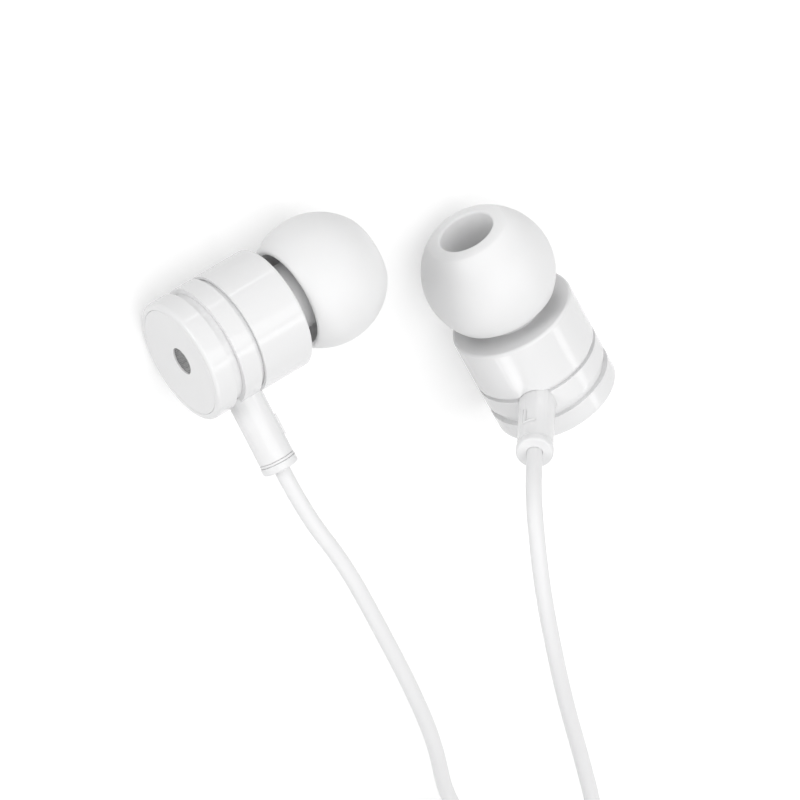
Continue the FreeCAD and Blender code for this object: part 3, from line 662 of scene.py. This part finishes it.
def soften(piece, width, segments=2, sharpness=32):
    """Rounds the sharp edges of a piece by a small bevel, in millimetres, and smooths what is nearly flat."""
    pick(piece)
    bpy.ops.object.mode_set(mode="EDIT")
    bpy.ops.mesh.select_mode(type="EDGE")
    bpy.ops.mesh.select_all(action="DESELECT")
    bpy.ops.mesh.edges_select_sharp(sharpness=math.radians(sharpness))
    bpy.ops.mesh.bevel(offset=width, segments=segments, affect="EDGES")
    bpy.ops.object.mode_set(mode="OBJECT")
    smooth(piece, sharpness)

# %% [markdown]
# Holes and notches are cut with the Boolean modifier, which also joins two pieces into one. It leaves some corners
# almost on top of one another, so these are merged afterwards. Most tools here are plain rods on the stem's line.

# %% Cutting
CUT_MERGE_MM = 0.004


def carve(piece, tool, operation="DIFFERENCE"):
    """Cuts a tool out of a piece or joins it on, then takes the tool away."""
    pick(piece)
    change = piece.modifiers.new("carve", "BOOLEAN")
    change.operation = operation
    change.solver = "EXACT"
    change.object = tool
    bpy.ops.object.modifier_apply(modifier=change.name)
    bpy.data.objects.remove(tool)
    bpy.ops.object.mode_set(mode="EDIT")
    bpy.ops.mesh.select_all(action="SELECT")
    bpy.ops.mesh.remove_doubles(threshold=CUT_MERGE_MM)
    bpy.ops.mesh.dissolve_degenerate(threshold=MERGE_MM)
    bpy.ops.object.mode_set(mode="OBJECT")


TO_STEM = Matrix.Translation((0, 0, -STEM_SET_BACK)) @ Matrix.Rotation(math.pi / 2, 4, "Y")


def along_stem(piece):
    """Lays a lathe's axis on the stem's line, which leaves the bud square to its axis."""
    piece.data.transform(TO_STEM)
    return piece


def stem_rod(radius, start, end):
    """Plain tool on the stem's line, for cutting room for the stem."""
    return along_stem(lathe("tool", [(radius, start), (radius, end)], closed=False))

# %% [markdown]
# Both buds are the same mould, so each piece is modelled once, in the bud's own millimetres, and a copy with its
# own mesh is seated on each side. A piece then rides on a body, and the piece of the model that it stands for is
# hidden.

# %% Seating the copies
def twin(pattern, name):
    """Copy of a piece with a mesh of its own."""
    piece = pattern.copy()
    piece.data = pattern.data.copy()
    piece.name = name
    bpy.context.collection.objects.link(piece)
    return piece


def place(piece, side, node, slot_name, body="earphones"):
    """Moves a piece's mesh onto a bud, where it stands for the model's own piece."""
    piece.data.transform(BUD[side])
    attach(piece, body)
    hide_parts(side + "_" + node)
    paint(piece, slot_name)


def seat(pattern, node, slot_name, on_tip=False):
    """Puts a copy of a piece on each bud and clears the pattern away."""
    for side in SIDES:
        piece = twin(pattern, side + "_" + node + "_shape")
        place(piece, side, node, slot_name, side + "_tip" if on_tip else "earphones")
    print(node, "faces:", len(pattern.data.polygons))
    bpy.data.objects.remove(pattern)

# %% [markdown]
# The front housing is the long half of the shell. Its outer edge at the front has a full round, a short boss
# carries the nozzle, and a barb near the nozzle's end holds the ear tip. A notch lets the stem pass. Its section
# runs from the thin lip at the groove, over the outside to the nozzle, and back through the bore.

# %% Front housing
BODY_R = 5.85
GROOVE_HALF = 0.22
FRONT_LENGTH = 5.45
FRONT_EDGE = 0.3
LIP_BORE_R, LIP_BORE_END = 5.51, 1.56
SHELL_BORE_R, SHELL_BORE_END = 5.0, 3.95
FUNNEL_R = 4.45
BOSS_R, BOSS_END = 3.05, 6.0
NOZZLE_R, NOZZLE_END = 2.15, 9.8
BARB_R, BARB_START, BARB_END = 2.43, 8.0, 8.9
SOUND_BORE_R, SOUND_BORE_START = 1.6, 5.35
MESH_SEAT_R, MESH_SEAT = 1.91, 9.68
STEM_R, STEM_FOOT, STEM_LENGTH = 1.65, 4.0, 11.8
STEM_ROOM = 0.06
EDGE_SOFT = 0.06

front_section = [(LIP_BORE_R, GROOVE_HALF), (BODY_R, GROOVE_HALF)]
front_section += arc((BODY_R - FRONT_EDGE, FRONT_LENGTH - FRONT_EDGE), FRONT_EDGE, 0, 90, 8)
front_section += [(BOSS_R, FRONT_LENGTH), (BOSS_R, BOSS_END), (NOZZLE_R, BOSS_END)]
front_section += [(NOZZLE_R, BARB_START), (BARB_R, BARB_START), (NOZZLE_R, BARB_END), (NOZZLE_R, NOZZLE_END)]
front_section += [(MESH_SEAT_R, NOZZLE_END), (MESH_SEAT_R, MESH_SEAT), (SOUND_BORE_R, MESH_SEAT)]
front_section += [(SOUND_BORE_R, SOUND_BORE_START), (FUNNEL_R, SHELL_BORE_END), (SHELL_BORE_R, SHELL_BORE_END)]
front_section += [(SHELL_BORE_R, LIP_BORE_END), (LIP_BORE_R, LIP_BORE_END)]
front = lathe("front housing", front_section)
soften(front, EDGE_SOFT)
carve(front, stem_rod(STEM_R + STEM_ROOM, STEM_FOOT, STEM_LENGTH))
smooth(front)
seat(front, "front_housing", "shell_white")

# %% [markdown]
# The middle ring and the stem are one moulding. The stem is set back from the ring's middle, so its round wall
# runs across the grooves on both sides. It is a tube of its own that is joined on with a boolean. The edges are
# rounded before that, while each piece is still a clean lathe shape, because a bevel goes wrong at the crowded
# corners that a cut leaves.

# %% Middle ring with stem
RING_FRONT, RING_BACK = 0.3, -2.1
RING_BORE_R = 3.9
SPIGOT_BORE_R, SPIGOT_R, SPIGOT_END = 4.94, 5.45, 1.5
LEAD_HOLE_R = 0.825
COLLAR_HOLE_R, COLLAR_HOLE_DEPTH = 1.26, 1.4
TRIM_FRONT_R, TRIM_BACK_R, TRIM_BACK_END = 4.98, 5.41, -4.0
PAST_THE_END = 1.0

ring = lathe("stem housing", [
    (RING_BORE_R, RING_FRONT), (SPIGOT_BORE_R, RING_FRONT), (SPIGOT_BORE_R, SPIGOT_END), (SPIGOT_R, SPIGOT_END),
    (SPIGOT_R, -GROOVE_HALF), (BODY_R, -GROOVE_HALF), (BODY_R, RING_BACK), (RING_BORE_R, RING_BACK),
])
soften(ring, EDGE_SOFT)
tube = along_stem(lathe("stem", [
    (LEAD_HOLE_R, STEM_FOOT), (STEM_R, STEM_FOOT), (STEM_R, STEM_LENGTH), (LEAD_HOLE_R, STEM_LENGTH),
]))
soften(tube, EDGE_SOFT)
carve(tube, lathe("tool", [(TRIM_FRONT_R, RING_FRONT), (TRIM_FRONT_R, SPIGOT_END)], closed=False))
carve(tube, lathe("tool", [(TRIM_BACK_R, TRIM_BACK_END), (TRIM_BACK_R, RING_BACK)], closed=False))
carve(ring, tube, "UNION")
carve(ring, stem_rod(LEAD_HOLE_R, STEM_FOOT - PAST_THE_END, STEM_LENGTH + PAST_THE_END))
carve(ring, stem_rod(COLLAR_HOLE_R, STEM_LENGTH - COLLAR_HOLE_DEPTH, STEM_LENGTH + PAST_THE_END))
print("stem housing faces:", len(ring.data.polygons))

# %% [markdown]
# Each stem carries a small raised letter that says which ear the bud is for. A letter is typed as a text object
# and made a mesh, and then cut into narrow strips, because a flat face can't bend. Each corner is then wound on to
# the stem: across the letter becomes round the stem, and the letter stands a little proud of it.

# %% Side marks
MARK_HEIGHT = 1.95
MARK_PROUD = 0.16
MARK_SUNK = 0.12
MARK_FOOT = 10.25
MARK_ROUND = 2.0
MARK_STRIP = 0.1


def side_mark(letter):
    """Raised letter on the stem's wall, upright towards the bud, as a closed mesh."""
    pick()
    bpy.ops.object.text_add()
    text = bpy.context.object
    text.data.body = letter
    text.data.align_x = "CENTER"
    text.data.resolution_u = 6
    text.data.extrude = 0.5
    bpy.ops.object.convert(target="MESH")
    mark = bpy.context.object
    low, high = mark.bound_box[0], mark.bound_box[6]
    scale = MARK_HEIGHT / (high[1] - low[1])
    bpy.ops.object.mode_set(mode="EDIT")
    bpy.ops.mesh.select_all(action="SELECT")
    bpy.ops.mesh.remove_doubles(threshold=0.0001)
    for k in range(1, int((high[0] - low[0]) * scale / MARK_STRIP) + 1):
        bpy.ops.mesh.select_all(action="SELECT")
        bpy.ops.mesh.bisect(plane_co=(low[0] + k * MARK_STRIP / scale, 0, 0), plane_no=(1, 0, 0))
    bpy.ops.mesh.select_all(action="SELECT")
    bpy.ops.mesh.normals_make_consistent(inside=False)
    bpy.ops.object.mode_set(mode="OBJECT")
    middle = (low[0] + high[0]) / 2
    for corner in mark.data.vertices:
        turn = math.radians(MARK_ROUND) + (corner.co.x - middle) * scale / STEM_R
        radius = STEM_R + (MARK_PROUD if corner.co.z > 0 else -MARK_SUNK)
        height = MARK_FOOT - (corner.co.y - low[1]) * scale
        corner.co = (-radius * math.cos(turn), radius * math.sin(turn), height)
    return along_stem(mark)


for side, letter in (("right", "R"), ("left", "L")):
    housing = twin(ring, side + "_stem_housing_shape")
    carve(housing, side_mark(letter), "UNION")
    smooth(housing)
    place(housing, side, "stem_housing", "shell_white")
    print(side, "stem housing faces:", len(housing.data.polygons))
bpy.data.objects.remove(ring)

# %% [markdown]
# The rear housing is a short ring. Its neck is thinner than its wall and leaves the wide groove behind the middle
# ring, its spigot slips into that ring, and a hole in its side lets the lead's wires in.

# %% Rear housing
NECK_R = 5.35
REAR_FRONT, REAR_BACK = -3.0, -5.0
REAR_EDGE = 0.35
REAR_SPIGOT_R, REAR_SPIGOT_END = 3.84, -1.2
REAR_BORE_R = 3.29
CAP_R, CAP_SEAT = 5.22, -4.25
CAP_ROOM = 0.01
WIRE_HOLE_START, WIRE_HOLE_END = 0.5, 4.9

rear_section = [(CAP_R + CAP_ROOM, REAR_BACK)]
rear_section += arc((BODY_R - REAR_EDGE, REAR_BACK + REAR_EDGE), REAR_EDGE, -90, 0, 6)
rear_section += [(BODY_R, REAR_FRONT), (NECK_R, REAR_FRONT), (NECK_R, RING_BACK), (REAR_SPIGOT_R, RING_BACK)]
rear_section += [(REAR_SPIGOT_R, REAR_SPIGOT_END), (REAR_BORE_R, REAR_SPIGOT_END)]
rear_section += [(REAR_BORE_R, CAP_SEAT), (CAP_R + CAP_ROOM, CAP_SEAT)]
rear = lathe("rear housing", rear_section)
soften(rear, width=0.04)
carve(rear, stem_rod(LEAD_HOLE_R, WIRE_HOLE_START, WIRE_HOLE_END))
smooth(rear)
seat(rear, "rear_housing", "shell_white")

# %% [markdown]
# The back is closed by a cap with a vent hole. The cap's face is dished by a fifth of a millimetre, along a
# parabola, which shades it softly from side to side. Behind the hole lies a fine dark screen, which bulges into it.

# %% Cap and vent screen
VENT_R = 1.3
DISH = 0.22
DISH_STEPS = 10
SCREEN_R, SCREEN_FRONT = 2.1, -4.1
BULGE_R, BULGE_BACK = 1.27, -4.62

dish = []
for k in range(DISH_STEPS + 1):
    out = k / DISH_STEPS
    dish.append((VENT_R + (CAP_R - VENT_R) * out, REAR_BACK + DISH * (1 - out ** 2)))
cap = lathe("rear cap", dish + [(CAP_R, CAP_SEAT), (VENT_R, CAP_SEAT)])
soften(cap, width=0.05)
seat(cap, "rear_cap", "shell_white")
screen = lathe("vent screen", [
    (BULGE_R, BULGE_BACK), (BULGE_R, CAP_SEAT), (SCREEN_R, CAP_SEAT), (SCREEN_R, SCREEN_FRONT),
], closed=False)
soften(screen, width=0.02)
seat(screen, "vent_screen", "vent_mesh")

# %% [markdown]
# The collar is a separate ring pressed into the end of the stem, where the cable comes out. Outside the stem it
# has a narrow band between two grooves, which show as two fine lines, and then its head with a rounded edge. The
# mesh at the nozzle's end keeps wax out of the sound bore.

# %% Collar and nozzle mesh
COLLAR_BORE_R = 0.75
PRESSED_R, PRESSED_START = 1.2, 10.4
LINE_R = 1.52
BAND_R, BAND_START, BAND_END = 1.66, 11.87, 12.06
HEAD_R, HEAD_START, HEAD_EDGE = 1.7, 12.13, 0.2
MESH_R = 1.85

collar_section = [(COLLAR_BORE_R, PRESSED_START), (PRESSED_R, PRESSED_START), (PRESSED_R, STEM_LENGTH)]
collar_section += [(LINE_R, STEM_LENGTH), (LINE_R, BAND_START), (BAND_R, BAND_START), (BAND_R, BAND_END)]
collar_section += [(LINE_R, BAND_END), (LINE_R, HEAD_START), (HEAD_R, HEAD_START)]
collar_section += arc((HEAD_R - HEAD_EDGE, COLLAR_END - HEAD_EDGE), HEAD_EDGE, 0, 90, 4)
collar_section += [(COLLAR_BORE_R, COLLAR_END)]
collar = along_stem(lathe("collar", collar_section))
soften(collar, width=0.02)
seat(collar, "stem_collar", "collar_white")
grille = lathe("nozzle mesh", [(MESH_R, MESH_SEAT), (MESH_R, NOZZLE_END)], closed=False)
soften(grille, width=0.02)
seat(grille, "nozzle_mesh", "nozzle_mesh")

# %% [markdown]
# A silicone ear tip is a thin mushroom: a tube grips the nozzle, and its hollow cap turns back over it like an
# umbrella. Its outside is nearly a ball with a rolled lip at the opening. It is one section again, with enough
# corners for a smooth curve, and its soft edge at the back is fully round.

# %% Ear tip
TIP_R = 6.1
TIP_CENTRE = 10.5
TIP_BORE_R = 2.58
SKIRT = 0.6
SKIRT_BACK = 3.4
CROWN = 4.85
LIP = 0.22
SLEEVE_R, SLEEVE_BACK, SLEEVE_FRONT = 3.13, 6.15, 13.3
WEB_UP = 3.0
WEB_RISE = 0.7
WEB_STEPS = 6

inner_r = TIP_R - SKIRT
middle_r = TIP_R - SKIRT / 2
skirt_angle = math.degrees(math.asin(SKIRT_BACK / middle_r))
crown_angle = math.degrees(math.asin(CROWN / TIP_R))
web_angle = math.degrees(math.asin(WEB_UP / inner_r))
web_r = inner_r * math.cos(math.radians(web_angle))
skirt_turn = math.radians(skirt_angle)
edge_spot = (middle_r * math.cos(skirt_turn), TIP_CENTRE - middle_r * math.sin(skirt_turn))
tip_section = [(TIP_BORE_R, SLEEVE_BACK), (SLEEVE_R, SLEEVE_BACK), (SLEEVE_R, SLEEVE_FRONT)]
for k in range(1, WEB_STEPS):
    over = k / WEB_STEPS
    tip_section.append((SLEEVE_R + (web_r - SLEEVE_R) * over, SLEEVE_FRONT + WEB_RISE * math.sin(math.pi * over)))
tip_section += arc((0, TIP_CENTRE), inner_r, web_angle, -skirt_angle, 24)
tip_section += arc(edge_spot, SKIRT / 2, 180 - skirt_angle, 360 - skirt_angle, 6)[1:-1]
tip_section += arc((0, TIP_CENTRE), TIP_R, -skirt_angle, crown_angle, 40)
tip_section += arc((TIP_BORE_R + LIP, TIP_NOSE - LIP), LIP, 90, 180, 6)
ear_tip = lathe("ear tip", tip_section)
soften(ear_tip, width=0.05, sharpness=40)
seat(ear_tip, "ear_tip", "tip_silicone", on_tip=True)

# %% [markdown]
# The two branches meet in a small moulded block. It starts as a cube that is scaled to the block's size and cut
# across where it begins to narrow, and the end beyond the cut is drawn in. A wide bevel rounds its long edges, and
# a groove round its middle shows where the two halves of the mould met.

# %% Splitter
SPLITTER_WIDE_LENGTH = 5.8
SPLITTER_WIDTH = 6.2
SPLITTER_NARROW = 3.8
SPLITTER_THICK = 2 * SPLITTER_MID
SPLITTER_EDGE = 0.7
SPLITTER_END_EDGE = 0.3
SEAM = 0.06
SEAM_DEPTH = 0.05
NEAR = 0.01


def select_where(piece, kind, test):
    """Selects the faces or edges of a piece whose corners pass a test."""
    bpy.ops.mesh.select_mode(type=kind)
    bpy.ops.mesh.select_all(action="DESELECT")
    bpy.ops.object.mode_set(mode="OBJECT")
    for item in piece.data.polygons if kind == "FACE" else piece.data.edges:
        item.select = test([piece.data.vertices[i].co for i in item.vertices])
    bpy.ops.object.mode_set(mode="EDIT")


pick()
bpy.ops.mesh.primitive_cube_add(size=1, scale=(SPLITTER_WIDTH, SPLITTER_LENGTH, SPLITTER_THICK))
block = bpy.context.object
bpy.ops.object.transform_apply(location=False, rotation=False, scale=True)
bpy.ops.object.mode_set(mode="EDIT")
bpy.ops.mesh.select_all(action="SELECT")
for height in (-SEAM, SEAM):
    bpy.ops.mesh.select_all(action="SELECT")
    bpy.ops.mesh.bisect(plane_co=(0, 0, height), plane_no=(0, 0, 1))
bpy.ops.mesh.select_all(action="SELECT")
bpy.ops.mesh.bisect(plane_co=(0, SPLITTER_LENGTH / 2 - SPLITTER_WIDE_LENGTH, 0), plane_no=(0, 1, 0))
select_where(block, "FACE", lambda spots: all(p.y < NEAR - SPLITTER_LENGTH / 2 for p in spots))
bpy.ops.transform.resize(value=(SPLITTER_NARROW / SPLITTER_WIDTH, 1, 1), center_override=(0, 0, 0))
select_where(block, "EDGE", lambda spots: all(abs(abs(p.z) - SPLITTER_MID) < NEAR and abs(p.x) > 1 for p in spots)
             and abs(spots[0].y - spots[1].y) > 1)
bpy.ops.mesh.bevel(offset=SPLITTER_EDGE, segments=8, affect="EDGES")
select_where(block, "FACE", lambda spots: all(abs(abs(p.y) - SPLITTER_LENGTH / 2) < NEAR for p in spots))
bpy.ops.mesh.region_to_loop()
bpy.ops.mesh.bevel(offset=SPLITTER_END_EDGE, segments=5, affect="EDGES")
select_where(block, "FACE", lambda spots: all(abs(p.z) < SEAM + NEAR for p in spots))
bpy.ops.mesh.inset(thickness=0.0, depth=-SEAM_DEPTH)
bpy.ops.object.mode_set(mode="OBJECT")
smooth(block, sharpness=40)
block.data.transform(Matrix.Scale(MM, 4) @ Matrix.Translation((FORK[0], FORK[1] - SPLITTER_LENGTH / 2, SPLITTER_MID)))
block.name = "cable_splitter_shape"
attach(block, "earphones")
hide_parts("cable_splitter")
paint(block, "collar_white")
print("splitter faces:", len(block.data.polygons))

# %% [markdown]
# The 3.5 mm plug is turned work on one line: a cone-tipped pin of metal rings with thin insulators between them.
# Heights are counted from the pin's foot towards its tip. Each ring is a lathe piece of its own, with real rounds on
# its edges, laid down so that its axis runs along the table.

# %% Plug pin
PIN_FOOT = RELIEF_END[1] + 23.0
ON_TABLE = Matrix.Translation((RELIEF_END[0], PIN_FOOT, HANDLE_R)) @ Matrix.Rotation(-math.pi / 2, 4, "X")
PIN_R, CORE_R = 1.75, 0.85
SLEEVE_END, RING_START, RING_END, NOSE_START = 7.4, 7.85, 10.15, 10.6
NOSE_EDGE = PIN_R - 0.06
HELD_START, HELD_R = -4.5, 1.35


def lay_plug(piece, node, slot_name, edge):
    """Rounds a plug piece, lays it on the plug's line and lets it stand for its node."""
    soften(piece, edge, segments=3)
    piece.data.transform(Matrix.Scale(MM, 4) @ ON_TABLE)
    piece.name = node + "_shape"
    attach(piece, "earphones")
    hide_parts(node)
    paint(piece, slot_name)
    print(node, "faces:", len(piece.data.polygons))


def pin_ring(name, start, end):
    """Plain ring of the pin between two heights."""
    return lathe(name, [(CORE_R, start), (PIN_R, start), (PIN_R, end), (CORE_R, end)])


lay_plug(lathe("tip", [
    (0.8, -3.0), (0.8, NOSE_START), (1.15, NOSE_START), (NOSE_EDGE, 12.38), (PIN_R, 12.52), (NOSE_EDGE, 12.66),
    (0.75, 13.78), (0.55, 13.93), (0.3, 14.0),
], closed=False), "plug_tip", "plug_contact", 0.02)
lay_plug(pin_ring("front insulator", RING_END, NOSE_START), "plug_insulator_front", "plug_insulator", 0.02)
lay_plug(pin_ring("ring", RING_START, RING_END), "plug_ring", "plug_contact", 0.05)
lay_plug(pin_ring("rear insulator", SLEEVE_END, RING_START), "plug_insulator_rear", "plug_insulator", 0.02)
lay_plug(lathe("sleeve", [
    (CORE_R, HELD_START), (HELD_R, HELD_START), (HELD_R, 0), (PIN_R, 0), (PIN_R, SLEEVE_END), (CORE_R, SLEEVE_END),
]), "plug_sleeve", "plug_contact", 0.05)

# %% [markdown]
# The handle is moulded over the foot of the pin, with a round at each end and a shallow groove near its back. The
# strain relief behind it is four rings in a row, each a little smaller than the last, so that the cable can bend
# more and more towards its free side.

# %% Handle and strain relief
HANDLE_BORE_R = 1.4
HANDLE_FRONT_EDGE_R = 2.1
HANDLE_EDGE = 0.35
TAPER_END = -5.0
HANDLE_BACK = -15.0
GRIP_START, GRIP_END, GRIP_DEPTH = -12.3, -13.0, 0.15
CABLE_BORE_R = 1.05
RIBS = 4
RIB_R, RIB_SHRINK, RIB_DEPTH = 2.1, 0.2, 0.3
RIB_PITCH, RIB_LENGTH = 2.0, 1.2

handle_section = [(HANDLE_BORE_R, HELD_START), (HANDLE_BORE_R, 0)]
handle_section += arc((HANDLE_FRONT_EDGE_R, -HANDLE_EDGE), HANDLE_EDGE, 90, 0, 6) + [(HANDLE_R, TAPER_END)]
handle_section += [(HANDLE_R, GRIP_START), (HANDLE_R - GRIP_DEPTH, GRIP_START - GRIP_DEPTH)]
handle_section += [(HANDLE_R - GRIP_DEPTH, GRIP_END + GRIP_DEPTH), (HANDLE_R, GRIP_END)]
handle_section += arc((HANDLE_R - HANDLE_EDGE, HANDLE_BACK + HANDLE_EDGE), HANDLE_EDGE, 0, -90, 6)
handle_section += [(CABLE_BORE_R, HANDLE_BACK), (CABLE_BORE_R, HELD_START)]
lay_plug(lathe("handle", handle_section), "plug_handle", "shell_white", 0.05)
relief_section = []
for rib in range(RIBS):
    rib_r = RIB_R - RIB_SHRINK * rib
    top = HANDLE_BACK - RIB_PITCH * rib
    relief_section += [(rib_r, top), (rib_r, top - RIB_LENGTH)]
    relief_section += [(rib_r - RIB_DEPTH, top - RIB_LENGTH), (rib_r - RIB_DEPTH, top - RIB_PITCH)]
lay_plug(lathe("relief", relief_section, closed=False), "plug_relief", "cable_jacket", 0.04)

# %% [markdown]
# The length that is not in use is wound up and held by two soft ties. A tie is a flat band round a bundle of
# turns: a rectangle as large as the bundle's section is rounded at its corners, its face is taken away, and the
# loop that is left is drawn out to the band's width and given its thickness.

# %% Coil ties
TIE_WIDTH = 2.6
TIE_THICK = 0.13
TIE_CORNER = 1.1
TIE_SLACK = 0.03


def coil_tie(name, x, near_y, far_y, top):
    """Band across a coil at x, round everything between two places along y and from the table to the top."""
    pick()
    middle = Vector((x - TIE_WIDTH / 2, (near_y + far_y) / 2, (top - TIE_SLACK) / 2))
    bpy.ops.mesh.primitive_plane_add(size=1)
    tie = bpy.context.object
    tie.name = name
    bpy.ops.object.mode_set(mode="EDIT")
    bpy.ops.mesh.select_all(action="SELECT")
    bpy.ops.transform.resize(value=(abs(far_y - near_y), top + TIE_SLACK, 1), center_override=(0, 0, 0))
    bpy.ops.mesh.bevel(offset=TIE_CORNER, segments=8, affect="VERTICES")
    bpy.ops.mesh.select_all(action="SELECT")
    bpy.ops.mesh.delete(type="ONLY_FACE")
    bpy.ops.mesh.select_all(action="SELECT")
    bpy.ops.mesh.extrude_region_move(TRANSFORM_OT_translate={"value": (0, 0, TIE_WIDTH)})
    bpy.ops.mesh.select_all(action="SELECT")
    bpy.ops.mesh.normals_make_consistent(inside=False)
    bpy.ops.object.mode_set(mode="OBJECT")
    wall = tie.modifiers.new("wall", "SOLIDIFY")
    wall.thickness = TIE_THICK
    wall.offset = 1.0
    bpy.ops.object.modifier_apply(modifier=wall.name)
    soften(tie, width=0.03, sharpness=60)
    upright = Matrix(((0, 0, 1), (1, 0, 0), (0, 1, 0))).to_4x4()
    tie.data.transform(Matrix.Scale(MM, 4) @ Matrix.Translation(middle) @ upright)
    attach(tie, "earphones")
    paint(tie, "cable_jacket")
    print(name, "faces:", len(tie.data.polygons))


coil_tie("branch_coil_tie", -10.1, -74.85, -66.9, 7.3)
coil_tie("main_coil_tie", -8.0, -86.35, -78.0, 9.5)
